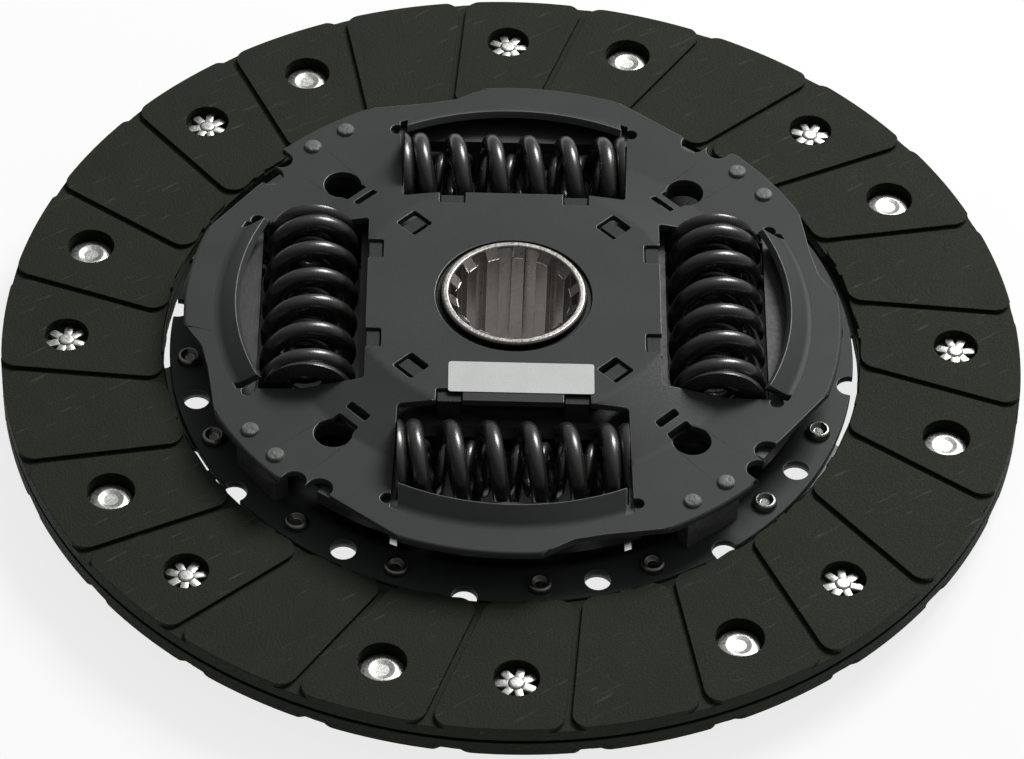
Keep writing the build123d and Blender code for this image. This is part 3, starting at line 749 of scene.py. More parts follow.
def drive_material():
    """Sheet steel of the drive plate, with painted shade inside the damper round the springs."""
    # Painted shade: the drive plate's colour falls to a quarter inside the damper, under the cover plate
    return darkened(sheet_material("Drive plate steel"), DRIVE_SHADE_RING, 0.25)


def rivet_material():
    """Plated rivets, upset in a press."""
    color = bpy.context.scene.clutch_finish.bright
    return steel_material("Rivet plating", color, (0.34, 0.50), 0.5 * MM, 0.006 * MM)


def segment_rivet_material():
    """Dull steel of the rivets that hold the segments."""
    return steel_material("Dull rivet steel", (0.30, 0.31, 0.29), (0.26, 0.40), 0.6 * MM, 0.006 * MM)


def stake_material():
    """Punched tenons, rubbed paler than the plates."""
    color = (0.115, 0.120, 0.112)
    return steel_material("Punched steel", color, (0.45, 0.65), 1.6 * MM, 0.12 * MM, metallic=0.0)


def hub_material():
    """Turned and broached hub steel, with painted shade on its outer wall."""
    color = bpy.context.scene.clutch_finish.hub
    steel = steel_material("Hub steel", color, (0.27, 0.42), 0.6 * MM, 0.01 * MM)
    # Painted shade: the hub's outer wall is darkened to 0.06 of its colour
    return darkened(steel, HUB_WALL_SHADE, 0.06)


def flange_material():
    """Plain pressed steel inside the damper."""
    color = (0.028, 0.030, 0.028)
    return steel_material("Flange steel", color, (0.45, 0.60), 0.7 * MM, 0.01 * MM, metallic=0.0)


def segment_material():
    """Hardened spring strip of the cushion segments, the disc springs and the support ring."""
    return steel_material("Spring strip", (0.08, 0.083, 0.085), (0.35, 0.50), 0.8 * MM, 0.006 * MM)


def spring_material():
    """Black oiled spring wire."""
    color = bpy.context.scene.clutch_finish.spring
    return mottled_material(
        "Spring wire", (color, tinted(color, 2.2)), (5 * MM, 0.3 * MM), (0.4, 0.4), (0.26, 0.33), 0.002 * MM,
        specular=1.0,
    )


def plastic_material():
    """Glass-filled plastic of the friction rings."""
    return mottled_material(
        "Ring plastic", ((0.022, 0.025, 0.023), (0.034, 0.038, 0.035)), (4 * MM, 0.4 * MM), (0.4, 0.4),
        (0.42, 0.60), 0.02 * MM, specular=0.15,
    )


def label_material():
    """Plain off-white film of the blank label."""
    color = bpy.context.scene.clutch_finish.label
    return mottled_material(
        "Label film", (tinted(color, 0.90), color), (6 * MM, 0.5 * MM), (0.6, 0.3), (0.45, 0.45), 0.008 * MM
    )


def plain_nodes_finish():
    """Finish of the CAD nodes that stay as they are."""
    strip = segment_material()
    finishes = {
        "cushion_segment": strip, "disc_spring": strip, "support_ring": strip,
        "friction_ring": plastic_material(), "hub_flange": flange_material(), "label": label_material(),
    }
    for node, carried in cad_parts.items():
        for part, material in finishes.items():
            if part in node:
                carried.data.materials.clear()
                carried.data.materials.append(material)


def groove_cutters(width, depth, mouth):
    """All grooves of one facing: slanted slots whose mouths flare at both rims."""
    inner = polar(FACING_BORE, GROOVE_INNER_ANGLE)
    outer = polar(FACING_RADIUS, GROOVE_OUTER_ANGLE)
    along = (outer - inner).normalized()
    across = Vector((-along.y, along.x, 0)) * width / 2
    reach = 2.4 * mouth
    inner_rim = polar(1, GROOVE_INNER_ANGLE + 90) * reach
    outer_rim = polar(1, GROOVE_OUTER_ANGLE + 90) * reach
    past_inner = inner - polar(OVERSHOOT, GROOVE_INNER_ANGLE)
    past_outer = outer + polar(OVERSHOOT, GROOVE_OUTER_ANGLE)
    path = (
        (past_inner - inner_rim, 0), (inner - inner_rim, 0), (inner - across, mouth),
        (outer - across, mouth), (outer - outer_rim, 0), (past_outer - outer_rim, 0),
        (past_outer + outer_rim, 0), (outer + outer_rim, 0), (outer + across, mouth),
        (inner + across, mouth), (inner + inner_rim, 0), (past_inner + inner_rim, 0),
    )
    corners = [(point.x, point.y, radius) for point, radius in path]
    return repeated(prism(corners, FACING_FACE - depth, FACING_FACE + OVERSHOOT), GROOVES)


def facing_shape(settings):
    """Front facing as a closed shape."""
    low, high = SEGMENT_FRONT, FACING_FACE
    ring = turned((
        (FACING_BORE, low, 0), (FACING_RADIUS, low, 0), (FACING_RADIUS, high, 0), (FACING_BORE, high, 0),
    ))
    below, above = low - OVERSHOOT, high + OVERSHOOT
    spot = (FACING_RIVET_CIRCLE, 0)
    pocket = column(TAIL_POCKET_RADIUS, low + POCKET_WEB, above, spot)
    shank = column(SHANK_RADIUS, below, low + 2 * POCKET_WEB, spot)
    hole = column(HEAD_HOLE_RADIUS, below, above, spot)
    ring = combined(ring, gather(
        repeated(pocket, FACING_RIVETS, TAIL_ANGLE), repeated(hole, FACING_RIVETS, HEAD_ANGLE),
    ))
    ring = combined(ring, repeated(shank, FACING_RIVETS, TAIL_ANGLE))
    return combined(ring, groove_cutters(settings.groove_width, settings.groove_depth, settings.mouth_radius))


def turned_over(shape):
    """The shape turned over about the radius through a segment's middle, as the rear facing is."""
    middle = Vector((0, 0, (SEGMENT_FRONT + SEGMENT_REAR) / 2))
    turn = Matrix.Rotation(math.pi, 4, polar(1, SEGMENT_MIDDLE))
    return placed(shape.copy(), Matrix.Translation(middle) @ turn @ Matrix.Translation(-middle))


def window_corners():
    """Corners of the window on +X up to its lip's root: straight inside, flared ends, round outside."""
    corner_y = WINDOW_HALF_LENGTH + WINDOW_FLARE
    half_angle = math.asin(corner_y / WINDOW_LIP_RADIUS)
    corner_x = WINDOW_ARC_CENTER + WINDOW_LIP_RADIUS * math.cos(half_angle)
    crown_x = WINDOW_ARC_CENTER + WINDOW_LIP_RADIUS / math.cos(half_angle)
    return (
        (WINDOW_INNER, WINDOW_HALF_LENGTH, WINDOW_CORNER), (WINDOW_INNER, -WINDOW_HALF_LENGTH, WINDOW_CORNER),
        (corner_x, -corner_y, 0), (crown_x, 0, WINDOW_LIP_RADIUS), (corner_x, corner_y, 0),
    )


def box_corners(center_x, center_y, length, width, radius=0):
    """Corners of a rectangle, anticlockwise."""
    return [
        (center_x + side_x * length / 2, center_y + side_y * width / 2, radius)
        for side_x, side_y in ((1, -1), (1, 1), (-1, 1), (-1, -1))
    ]


def lip_sections(near, far, rise):
    """Sheet that bends out of the plate along each window's outer edge, as closed shapes."""
    reach = WINDOW_LIP_RADIUS - WINDOW_ARC_RADIUS
    slope = math.atan2(abs(rise), reach - LIP_BEND)
    lean = SHEET * math.sin(slope)
    drop = math.copysign(SHEET * math.cos(slope), rise)
    section = outline((
        (WINDOW_LIP_RADIUS + LIP_ROOT, near, 0),
        (WINDOW_LIP_RADIUS + LIP_ROOT, far, 0),
        (WINDOW_LIP_RADIUS - LIP_BEND - lean, far, LIP_ROUND),
        (WINDOW_ARC_RADIUS - lean, near + rise - drop, 0),
        (WINDOW_ARC_RADIUS, near + rise, 0),
        (WINDOW_LIP_RADIUS - LIP_BEND, near, LIP_ROUND),
    ))
    half_angle = math.asin(LIP_HALF_LENGTH / (WINDOW_ARC_RADIUS - lean))
    shift = Matrix.Translation((WINDOW_ARC_CENTER, 0, 0))
    stand = shift @ Matrix.Rotation(-half_angle, 4, "Z") @ Matrix.Rotation(math.pi / 2, 4, "X")
    made = bmesh.ops.contextual_create(section, geom=section.edges[:])
    bmesh.ops.transform(section, matrix=stand, verts=section.verts)
    bmesh.ops.spin(
        section, geom=section.verts[:] + section.edges[:] + made["faces"], cent=(WINDOW_ARC_CENTER, 0, 0),
        axis=(0, 0, 1), angle=2 * half_angle, steps=LIP_STEPS,
    )
    section = outward(section)
    for side in (-1, 1):
        trimmed(section, (0, side * LIP_HALF_LENGTH, 0), (0, side, 0))
    return repeated(section, QUARTERS)


def bite_corners(points, middle):
    """Corners of a bite out of the cover plate's rim, up to a point well outside the rim."""
    corners = [(*polar(radius, angle).xy, round_) for radius, angle, round_ in points]
    return corners + [(*polar(BITE_REACH, middle).xy, 0)]


def cover_openings(low, high):
    """Cutters of the cover plate, in two sets, because some of the second touch those of the first."""
    lug_hole = box_corners(LUG_HOLE_CIRCLE, 0, LUG_HOLE_SIDE, LUG_HOLE_SIDE, LUG_HOLE_CORNER)
    first = [
        in_quarters(window_corners(), low, high),
        in_quarters(lug_hole, low, high, 45),
        repeated(column(KEYHOLE_RADIUS, low, high, (KEYHOLE_CIRCLE, 0)), QUARTERS, 45),
        in_quarters(bite_corners(DEEP_BITE, DEEP_BITE_MIDDLE), low, high),
    ]
    second = []
    for start, end in ((KEYHOLE_SLOT_END, KEYHOLE_BAR[0]), (KEYHOLE_BAR[1], KEYHOLE_CIRCLE)):
        slot = box_corners((start + end) / 2, 0, end - start, KEYHOLE_SLOT, KEYHOLE_CORNER)
        second.append(in_quarters(slot, low, high, 45))
    for side in (-1, 1):
        notch = box_corners(WINDOW_INNER, side * NOTCH_OFFSET, 2 * NOTCH_DEPTH, NOTCH_WIDTH, NOTCH_CORNER)
        second.append(in_quarters(notch, low, high))
    for side in (-1, 1):
        relief = column(RELIEF_RADIUS, low, high, (RELIEF_PLACE[0], side * RELIEF_PLACE[1]))
        second.append(repeated(relief, QUARTERS))
    return gather(*first), gather(*second)


def cover_shape():
    """Cover plate: dished sheet with windows, lips, holes and a scalloped outline."""
    low, high = COVER_INSIDE - OVERSHOOT, COVER_TOP + OVERSHOOT
    rim_top = COVER_INSIDE + SHEET
    inside_top = COVER_TOP - SHEET
    plate = turned((
        (PLATE_BORE, COVER_TOP, 0),
        (PLATE_BORE, inside_top, 0),
        (DISH_FLAT_RADIUS, inside_top, DISH_BEND_RADIUS),
        (DISH_SHOULDER_RADIUS, COVER_INSIDE, DISH_BEND_RADIUS),
        (COVER_RADIUS, COVER_INSIDE, 0),
        (COVER_RADIUS, rim_top, COVER_EDGE_ROUND),
        (DISH_SHOULDER_RADIUS, rim_top, DISH_BEND_RADIUS),
        (DISH_FLAT_RADIUS, COVER_TOP, DISH_BEND_RADIUS),
    ))
    for openings in cover_openings(low, high):
        plate = combined(plate, openings)
    plate = combined(plate, in_quarters(bite_corners(FLAT_BITE, FLAT_BITE_MIDDLE), low, high))
    for distance, angle, radius in CLOUD_LOBES:
        lobe = column(radius, low, high, (distance, 0))
        mouth = box_corners(distance + 2 * radius, 0, 4 * radius, 2 * radius)
        plate = combined(plate, repeated(lobe, QUARTERS, angle))
        plate = combined(plate, in_quarters(mouth, low, high, angle))
    for start, width, angle in CLOUD_CUSPS:
        cusp = box_corners(start + BITE_REACH / 2, 0, BITE_REACH, width)
        plate = combined(plate, in_quarters(cusp, low, high, angle))
    return gather(plate, lip_sections(rim_top, COVER_INSIDE, COVER_LIP_RISE))


def drive_shape():
    """Drive plate: flat sheet with windows, peepholes and notches in its edge."""
    low, high = SEGMENT_FRONT, DRIVE_FACE
    plate = turned((
        (PLATE_BORE, high, 0), (PLATE_BORE, low, 0), (DRIVE_RADIUS, low, 0),
        (DRIVE_RADIUS, high, DRIVE_EDGE_ROUND),
    ))
    below, above = low - OVERSHOOT, high + OVERSHOOT
    peephole = column(PEEPHOLE_RADIUS, below, above, (PEEPHOLE_CIRCLE, 0))
    edge_notch = column(PEEPHOLE_RADIUS, below, above, (EDGE_NOTCH_CIRCLE, 0))
    plate = combined(plate, gather(
        in_quarters(window_corners(), below, above),
        repeated(peephole, FACING_RIVETS, SEGMENT_MIDDLE),
        repeated(edge_notch, FACING_RIVETS, EDGE_NOTCH_ANGLE),
        in_quarters(box_corners(LUG_HOLE_CIRCLE, 0, LUG_HOLE_SIDE, LUG_HOLE_SIDE), below, above, 45),
    ))
    return gather(plate, lip_sections(low, high, -REAR_LIP_RISE))


def coil_shape(kind, settings):
    """Coil spring on the Z axis with closed, ground ends, centred on the origin."""
    turns, pitch, hand, radius = kind["turns"], kind["pitch"], kind["hand"], kind["coil"]
    closed_pitch = 2 * kind["wire"]
    climb = math.atan2(pitch, FULL_TURN * radius)
    height = -turns * pitch / 2 - CLOSED_TURNS * closed_pitch
    stand = Matrix.Rotation(hand * climb, 4, "X") @ Matrix.Rotation(math.pi / 2, 4, "X")
    start_turn = Matrix.Rotation(-hand * CLOSED_TURNS * FULL_TURN, 4, "Z")
    shape = bmesh.new()
    bmesh.ops.create_circle(shape, segments=settings.sides, radius=kind["wire"])
    wire_place = start_turn @ Matrix.Translation((radius, 0, 0)) @ stand
    placed(shape, Matrix.Translation((0, 0, height)) @ wire_place)
    section = shape.verts[:] + shape.edges[:]
    closed_end = (CLOSED_TURNS, closed_pitch)
    for stretch, rise in (closed_end, (turns, pitch), closed_end):
        steps = round(stretch * settings.steps)
        made = bmesh.ops.spin(
            shape, geom=section, cent=(0, 0, 0), axis=(0, 0, 1), angle=hand * stretch * FULL_TURN,
            steps=steps, dvec=(0, 0, rise * stretch / steps),
        )
        section = [item for item in made["geom_last"] if not isinstance(item, bmesh.types.BMFace)]
    open_edges = [edge for edge in shape.edges if len(edge.link_faces) < 2]
    bmesh.ops.holes_fill(shape, edges=open_edges)
    for side in (-1, 1):
        trimmed(shape, (0, 0, side * SPRING_LENGTH / 2), (0, 0, side))
    return outward(shape)


def round_head(radius):
    """Round rivet head on z = 0 with a shallow dimple, as a closed shape."""
    top = HEAD_RIM + HEAD_DOME
    floor = top - HEAD_DIMPLE_DEPTH
    return turned((
        (0, 0, 0), (radius, 0, 0), (radius, HEAD_RIM, 0.45 * MM), (HEAD_DIMPLE * 1.3, top, 0.8 * MM),
        (HEAD_DIMPLE * 0.75, floor, 0.5 * MM), (0, floor, 0),
    ), steps=HEAD_STEPS)


def star_tail(settings, rng):
    """Split rivet tail on z = 0: a domed crown and petals that curl out and down to the web."""
    crown = turned((
        (0, 0, 0), (CROWN_RADIUS, 0, 0), (CROWN_RADIUS * 0.95, CROWN_RISE, 0.8 * MM),
        (0, CROWN_RISE * 1.05, 0),
    ), steps=HEAD_STEPS)
    shapes = [crown]
    root = CROWN_RADIUS * 0.55
    lift = Matrix.Translation((0, 0, PETAL_LIFT))
    start = rng.uniform(0, FULL_TURN)
    for index in range(settings.petals):
        angle = start + index * FULL_TURN / settings.petals + rng.uniform(-0.08, 0.08)
        reach = settings.tail_radius * rng.uniform(0.93, 1.0)
        width = PETAL_WIDTH * rng.uniform(0.85, 1.05)
        petal = prism(
            box_corners((root + reach) / 2, 0, reach - root, width, 0.40 * width), 0, PETAL_THICKNESS
        )
        half = 0.5 * PETAL_THICKNESS
        upper = [edge for edge in petal.edges if all(vert.co.z > half for vert in edge.verts)]
        bmesh.ops.bevel(
            petal, geom=upper, offset=0.4 * PETAL_THICKNESS, offset_type="OFFSET", affect="EDGES",
            segments=2, profile=0.5, material=-1,
        )
        tilt = Matrix.Rotation(PETAL_TILT * rng.uniform(0.6, 1.3), 4, "Y")
        shapes.append(placed(petal, Matrix.Rotation(angle, 4, "Z") @ lift @ tilt))
    return gather(*shapes)


def facing_rivet_set(settings, angle_degrees, head_height, way):
    """The rivets of one facing: heads at a height, shanks and star tails on the way to their facing."""
    rng = random.Random(round(angle_degrees * 100))
    tail_height = head_height + way * (SEGMENT_THICKNESS + POCKET_WEB)
    low, high = sorted((head_height, tail_height))
    flip = Matrix.Rotation(math.pi, 4, "X")
    upright = Matrix.Identity(4)
    head_turn, tail_turn = (flip, upright) if way > 0 else (upright, flip)
    shapes = []
    for index in range(FACING_RIVETS):
        spot = polar(FACING_RIVET_CIRCLE, angle_degrees + index * 360 / FACING_RIVETS)
        place_head = Matrix.Translation((spot.x, spot.y, head_height)) @ head_turn
        place_tail = Matrix.Translation((spot.x, spot.y, tail_height)) @ tail_turn
        shapes += [
            placed(round_head(settings.head_radius), place_head),
            column(SHANK_RADIUS, low, high, spot, SHANK_STEPS),
            placed(star_tail(settings, rng), place_tail),
        ]
    return gather(*shapes)


def segment_rivet_shape():
    """One segment rivet on its own axis at +X: a dished head on the drive plate and a domed one behind."""
    front, rear = DRIVE_FACE, SEGMENT_REAR
    radius, rise, shank = SEGMENT_RIVET_HEAD, SEGMENT_RIVET_RISE, SEGMENT_RIVET_SHANK
    top, dish = front + rise, front + SEGMENT_RIVET_DISH
    rivet = turned((
        (0, rear - rise, 0), (radius * 0.92, rear - rise, rise * 0.8), (radius, rear, 0), (shank, rear, 0),
        (shank, front, 0), (radius, front, 0), (radius * 0.93, top, rise * 0.5),
        (radius * 0.66, top, rise * 0.2), (radius * 0.42, dish, rise * 0.3), (0, dish, 0),
    ), steps=HEAD_STEPS)
    return placed(rivet, Matrix.Translation((SEGMENT_RIVET_CIRCLE, 0, 0)))


def stake_head():
    """Low domed head of a punched tenon, on z = 0."""
    return turned((
        (0, 0, 0), (STAKE_RADIUS, 0, 0), (STAKE_RADIUS * 0.9, STAKE_RISE * 0.8, 0.5 * MM), (0, STAKE_RISE, 0),
    ), steps=HEAD_STEPS)


def staked_tabs_shape():
    """Spacer tabs between the plates, whose tenons are punched over the plates in low domed heads."""
    bar = prism(box_corners(TAB_CIRCLE, 0, TAB_THICKNESS, TAB_WIDTH), DRIVE_FACE, COVER_INSIDE)
    front, rear = COVER_INSIDE + SHEET, SEGMENT_FRONT
    ends = ((front, Matrix.Identity(4)), (rear, Matrix.Rotation(math.pi, 4, "X")))
    shapes = [bar]
    for side in (-1, 1):
        spot = polar(TAB_CIRCLE, side * STAKE_SPREAD)
        shapes.append(column(STAKE_RADIUS * 0.8, rear, front, spot, HEAD_STEPS))
        for height, turn in ends:
            shapes.append(placed(stake_head(), Matrix.Translation((spot.x, spot.y, height)) @ turn))
    return repeated(gather(*shapes), QUARTERS, TAB_ANGLE)


def spline_corners():
    """Outline of the splined bore: root arcs between straight-sided teeth."""
    half_tooth = SPLINE_TOOTH / 2
    root_angle = math.degrees(math.asin(half_tooth / SPLINE_ROOT))
    land_angle = math.degrees(math.asin(half_tooth / SPLINE_LAND))
    step = 360 / SPLINES
    corners = []
    for index in range(SPLINES):
        tooth = SPLINE_FIRST_ANGLE + index * step
        gap_half = step / 2 - root_angle
        corners += [
            (*polar(SPLINE_LAND, tooth - land_angle).xy, 0), (*polar(SPLINE_LAND, tooth + land_angle).xy, 0),
            (*polar(SPLINE_ROOT, tooth + root_angle).xy, 0),
            (*polar(SPLINE_ROOT / math.cos(math.radians(gap_half)), tooth + step / 2).xy, SPLINE_ROOT),
            (*polar(SPLINE_ROOT, tooth + step - root_angle).xy, 0),
        ]
    return corners


def belt_corners():
    """Outline of the toothed belt that carries the flange."""
    half_tooth = BELT_TOOTH / 2
    root_angle = math.degrees(math.asin(half_tooth / BELT_ROOT))
    tip_angle = math.degrees(math.asin(half_tooth / BELT_TIP))
    step = 360 / BELT_TEETH
    corners = []
    for index in range(BELT_TEETH):
        tooth = index * step
        corners += [
            (*polar(BELT_ROOT, tooth - root_angle).xy, 0), (*polar(BELT_TIP, tooth - tip_angle).xy, 0),
            (*polar(BELT_TIP, tooth + tip_angle).xy, 0), (*polar(BELT_ROOT, tooth + root_angle).xy, 0),
        ]
    return corners


def hub_shape():
    """Hub: splined sleeve with chamfered ends and the toothed belt."""
    low, high = hub_low.z, hub_high.z
    sleeve = turned((
        (0, low, 0), (HUB_RADIUS - HUB_CHAMFER, low, 0), (HUB_RADIUS, low + HUB_CHAMFER, 0),
        (HUB_RADIUS, high - HUB_CHAMFER, 0), (HUB_RADIUS - HUB_CHAMFER, high, 0), (0, high, 0),
    ), steps=SLEEVE_STEPS)
    sleeve = combined(sleeve, prism(belt_corners(), flange_low.z, flange_high.z), "UNION")
    sleeve = combined(sleeve, prism(spline_corners(), low - OVERSHOOT, high + OVERSHOOT))
    entry = SPLINE_ENTRY - SPLINE_LAND
    past = SPLINE_ENTRY + OVERSHOOT
    cones = gather(
        column(past, low - OVERSHOOT, low + entry, segments=SLEEVE_STEPS, top_radius=SPLINE_LAND),
        column(SPLINE_LAND, high - entry, high + OVERSHOOT, segments=SLEEVE_STEPS, top_radius=past),
    )
    return combined(sleeve, cones)


class CLUTCH_OT_facings(bpy.types.Operator):
    """Model both friction facings with their grooves and rivet holes"""

    bl_idname = "clutch.facings"
    bl_label = "Friction Facings"

    def execute(self, context):
        settings = context.scene.clutch_facing
        lining = lining_material()
        front = facing_shape(settings)
        rear = turned_over(front)
        for shape, side in ((front, "front"), (rear, "rear")):
            finish_piece(
                shape, f"{side}_lining", "disc", lining, [f"{side}_facing"], settings.edge
            )
        return {"FINISHED"}


class CLUTCH_OT_plates(bpy.types.Operator):
    """Model the cover plate and the drive plate"""

    bl_idname = "clutch.plates"
    bl_label = "Cover And Drive Plates"

    def execute(self, context):
        worn_edge = worn_edge_material()
        for shape, name, steel, node in (
            (cover_shape(), "cover_sheet", sheet_material("Cover steel"), "cover_plate"),
            (drive_shape(), "drive_sheet", drive_material(), "drive_plate"),
        ):
            finish_piece(
                shape, name, "disc", steel, [node], PLATE_EDGE, edge_material=worn_edge
            )
        return {"FINISHED"}


class CLUTCH_OT_facing_rivets(bpy.types.Operator):
    """Model the rivets of both facings, with round heads and star tails"""

    bl_idname = "clutch.facing_rivets"
    bl_label = "Facing Rivets"

    def execute(self, context):
        settings = context.scene.clutch_rivets
        plating = rivet_material()
        front = facing_rivet_set(settings, TAIL_ANGLE, SEGMENT_REAR, 1)
        rear = facing_rivet_set(settings, HEAD_ANGLE, SEGMENT_FRONT, -1)
        finish_piece(front, "front_rivets", "disc", plating, ["front_facing_rivets"])
        finish_piece(rear, "rear_rivets", "disc", plating, ["rear_facing_rivets"])
        return {"FINISHED"}


class CLUTCH_OT_segment_rivets(bpy.types.Operator):
    """Model the domed rivets that hold the cushion segments"""

    bl_idname = "clutch.segment_rivets"
    bl_label = "Segment Rivets"

    def execute(self, context):
        sets = [repeated(segment_rivet_shape(), FACING_RIVETS, angle) for angle in SEGMENT_RIVET_ANGLES]
        steel = segment_rivet_material()
        finish_piece(
            gather(*sets), "rim_rivets", "disc", steel, ["segment_rivets"], sharp_angle=50
        )
        return {"FINISHED"}


class CLUTCH_OT_staked_tabs(bpy.types.Operator):
    """Model the spacer tabs and their staked tenons"""

    bl_idname = "clutch.staked_tabs"
    bl_label = "Staked Spacer Tabs"

    def execute(self, context):
        nodes = [f"spacer_tab_{index + 1}" for index in range(QUARTERS)]
        finish_piece(staked_tabs_shape(), "staked_tabs", "disc", stake_material(), nodes)
        return {"FINISHED"}


class CLUTCH_OT_springs(bpy.types.Operator):
    """Model the outer and inner coil springs of the damper"""

    bl_idname = "clutch.springs"
    bl_label = "Damper Springs"

    def execute(self, context):
        wire = spring_material()
        up = Vector((0, 0, 1))
        for kind, label in ((OUTER_SPRING, "outer"), (INNER_SPRING, "inner")):
            form = coil_shape(kind, context.scene.clutch_springs)
            for index in range(QUARTERS):
                along = polar(1, (index + 1) * 90)
                center = polar(SPRING_AXIS, index * 90, SPRING_HEIGHT)
                seat = Matrix((up, along.cross(up), along)).transposed().to_4x4()
                piece = finish_piece(
                    placed(form.copy(), Matrix.Translation(center) @ seat), f"{label}_coil_{index + 1}",
                    "springs", wire, [f"{label}_spring_{index + 1}"],
                )
                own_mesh(piece)
            form.free()
        return {"FINISHED"}


class CLUTCH_OT_hub(bpy.types.Operator):
    """Model the splined hub"""

    bl_idname = "clutch.hub"
    bl_label = "Splined Hub"

    def execute(self, context):
        finish_piece(hub_shape(), "splined_hub", "hub", hub_material(), ["hub"], HUB_EDGE)
        return {"FINISHED"}


class CLUTCH_OT_plain_nodes(bpy.types.Operator):
    """Finish the nodes of the frame that keep their own form"""

    bl_idname = "clutch.plain_nodes"
    bl_label = "Segments, Rings And Label"

    def execute(self, context):
        plain_nodes_finish()
        return {"FINISHED"}


def area_lamp(name, place, aim, size, power):
    """Large soft lamp that points at a place."""
    data = bpy.data.lights.new(name, "AREA")
    data.shape = "SQUARE"
    data.size = size
    data.energy = power
    lamp = bpy.data.objects.new(name, data)
    lamp.location = place
    lamp.rotation_euler = (Vector(aim) - Vector(place)).to_track_quat("-Z", "Y").to_euler()
    bpy.context.scene.collection.objects.link(lamp)


def background_rays(tree):
    """Factor that is 1 for the rays by which a camera, a mirror or glass sees the background."""
    path = new_node(tree, "LightPath")
    seen = math_node(tree, "MAXIMUM", (path, "Is Camera Ray"), (path, "Is Glossy Ray"))
    return math_node(tree, "MAXIMUM", (seen, 0), (path, "Is Transmission Ray"))


def floor_material():
    """White floor that keeps a faint shadow and the full dark of the place under the damper, with a painted
    pool of light under the hub's bore.
    """
    material = bpy.data.materials.new("Studio floor")
    material.use_nodes = True
    tree = material.node_tree
    shader = tree.nodes["Principled BSDF"]
    shader.inputs["Base Color"].default_value = (0.9, 0.9, 0.9, 1.0)
    shader.inputs["Roughness"].default_value = 0.9
    place = new_node(tree, "TexCoord")
    glows = []
    for center, (start, end), near, far in (
        (FLOOR_DARK_CENTER, FLOOR_DARK, 0.0, FLOOR_GLOW), ((0, 0, 0), BORE_LIGHT, BORE_GLOW, 0.0),
    ):
        distance = new_node(tree, "VectorMath", "DISTANCE")
        distance.inputs[1].default_value = center
        link(tree, place, "Object", distance, 0)
        ring = new_node(tree, "MapRange", From_Min=start, From_Max=end, To_Min=near, To_Max=far)
        link(tree, distance, "Value", ring, "Value")
        glows.append((ring, 0))
    share = math_node(tree, "ADD", *glows)
    factor = math_node(tree, "MULTIPLY", (background_rays(tree), 0), (share, 0))
    mix = new_node(tree, "MixShader")
    link(tree, factor, 0, mix, 0)
    link(tree, shader, "BSDF", mix, 1)
    link(tree, new_node(tree, "Emission"), 0, mix, 2)
    link(tree, mix, 0, tree.nodes["Material Output"], "Surface")
    return material


def studio_sky(bright, dim):
    """World whose light fades from the lamp's side to the opposite one."""
    world = bpy.data.worlds.new("Studio sky")
    world.use_nodes = True
    tree = world.node_tree
    sky = tree.nodes["Background"]
    sky.inputs["Color"].default_value = (1.0, 1.0, 1.0, 1.0)
    place = new_node(tree, "TexCoord")
    towards = new_node(tree, "VectorMath", "DOT_PRODUCT")
    towards.inputs[1].default_value = Vector(KEY_PLACE).normalized()
    link(tree, place, "Generated", towards, 0)
    spread = new_node(tree, "MapRange", To_Min=dim, To_Max=bright)
    link(tree, towards, "Value", spread, "Value")
    link(tree, spread, 0, sky, "Strength")
    bpy.context.scene.world = world


def camera_from_calibration():
    """Camera at the photograph's viewing angle: turn, height and roll of the view, and aim."""
    turn, rise, roll = (math.radians(value) for value in (CAMERA_TURN, CAMERA_RISE, CAMERA_ROLL))
    back = Vector((math.sin(turn) * math.cos(rise), -math.cos(turn) * math.cos(rise), math.sin(rise)))
    level = Vector((math.cos(turn), math.sin(turn), 0))
    upward = back.cross(level)
    aim = level * CAMERA_SHIFT[0] + upward * CAMERA_SHIFT[1] + Vector((0, 0, FACING_FACE))
    place = back * CAMERA_DISTANCE + aim
    right = math.cos(roll) * level + math.sin(roll) * upward
    top = math.cos(roll) * upward - math.sin(roll) * level
    data = bpy.data.cameras.new("photo_camera")
    data.sensor_width = CAMERA_SENSOR
    data.lens = CAMERA_LENS
    camera = bpy.data.objects.new("photo_camera", data)
    camera.matrix_world = Matrix.Translation(place) @ Matrix((right, top, back)).transposed().to_4x4()
    bpy.context.scene.collection.objects.link(camera)
    bpy.context.scene.camera = camera


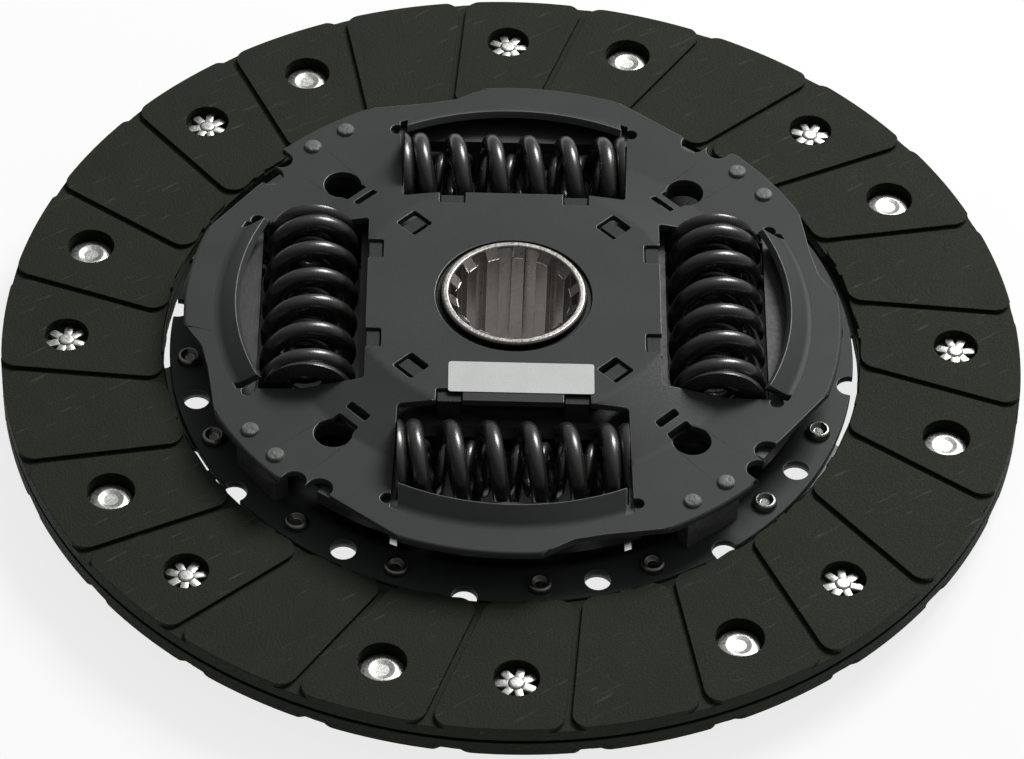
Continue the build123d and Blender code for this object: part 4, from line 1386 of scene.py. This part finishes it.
class CLUTCH_OT_stage(bpy.types.Operator):
    """Add the floor, the lamps and the camera"""

    bl_idname = "clutch.stage"
    bl_label = "Studio Stage"

    def execute(self, context):
        settings = context.scene.clutch_stage
        scene = context.scene
        scene.view_settings.view_transform = "Standard"
        ground = bmesh.new()
        bmesh.ops.create_grid(ground, x_segments=1, y_segments=1, size=FLOOR_HALF_WIDTH)
        mesh = bpy.data.meshes.new("studio_floor")
        ground.to_mesh(mesh)
        ground.free()
        mesh.materials.append(floor_material())
        floor = bpy.data.objects.new("studio_floor", mesh)
        floor.location = (0, 0, cad_box[0][2])
        scene.collection.objects.link(floor)
        aim = (0, 0, FACING_FACE)
        area_lamp("key_lamp", KEY_PLACE, aim, settings.key_size, settings.key_power)
        studio_sky(settings.sky_bright, settings.sky_dim)
        camera_from_calibration()
        return {"FINISHED"}


class CLUTCH_PT_panel(bpy.types.Panel):
    """Lists the steps that make the disc"""

    bl_idname = "CLUTCH_PT_panel"
    bl_label = "Clutch Disc"
    bl_space_type = "VIEW_3D"
    bl_region_type = "UI"
    bl_category = "Clutch Disc"

    def draw(self, context):
        for group in SETTINGS:
            rows = self.layout.column(align=True)
            values = getattr(context.scene, group)
            for name in values.bl_rna.properties.keys():
                if name not in ("rna_type", "name"):
                    rows.prop(values, name)
        for step in STEPS:
            self.layout.operator(step.bl_idname)


SETTINGS = {
    "clutch_finish": ClutchFinishSettings,
    "clutch_facing": ClutchFacingSettings,
    "clutch_springs": ClutchSpringSettings,
    "clutch_rivets": ClutchRivetSettings,
    "clutch_stage": ClutchStageSettings,
}
STEPS = (
    CLUTCH_OT_facings,
    CLUTCH_OT_plates,
    CLUTCH_OT_facing_rivets,
    CLUTCH_OT_segment_rivets,
    CLUTCH_OT_staked_tabs,
    CLUTCH_OT_springs,
    CLUTCH_OT_hub,
    CLUTCH_OT_plain_nodes,
    CLUTCH_OT_stage,
)


def register():
    for group in SETTINGS.values():
        bpy.utils.register_class(group)
    for step in STEPS:
        bpy.utils.register_class(step)
    bpy.utils.register_class(CLUTCH_PT_panel)
    for name, group in SETTINGS.items():
        setattr(bpy.types.Scene, name, PointerProperty(type=group))


def unregister():
    for name in SETTINGS:
        delattr(bpy.types.Scene, name)
    bpy.utils.unregister_class(CLUTCH_PT_panel)
    for step in reversed(STEPS):
        bpy.utils.unregister_class(step)
    for group in SETTINGS.values():
        bpy.utils.unregister_class(group)


def main():
    register()
    bpy.ops.clutch.facings()
    bpy.ops.clutch.plates()
    bpy.ops.clutch.facing_rivets()
    bpy.ops.clutch.segment_rivets()
    bpy.ops.clutch.staked_tabs()
    bpy.ops.clutch.springs()
    bpy.ops.clutch.hub()
    bpy.ops.clutch.plain_nodes()
    bpy.ops.clutch.stage()


if __name__ == "__main__":
    main()
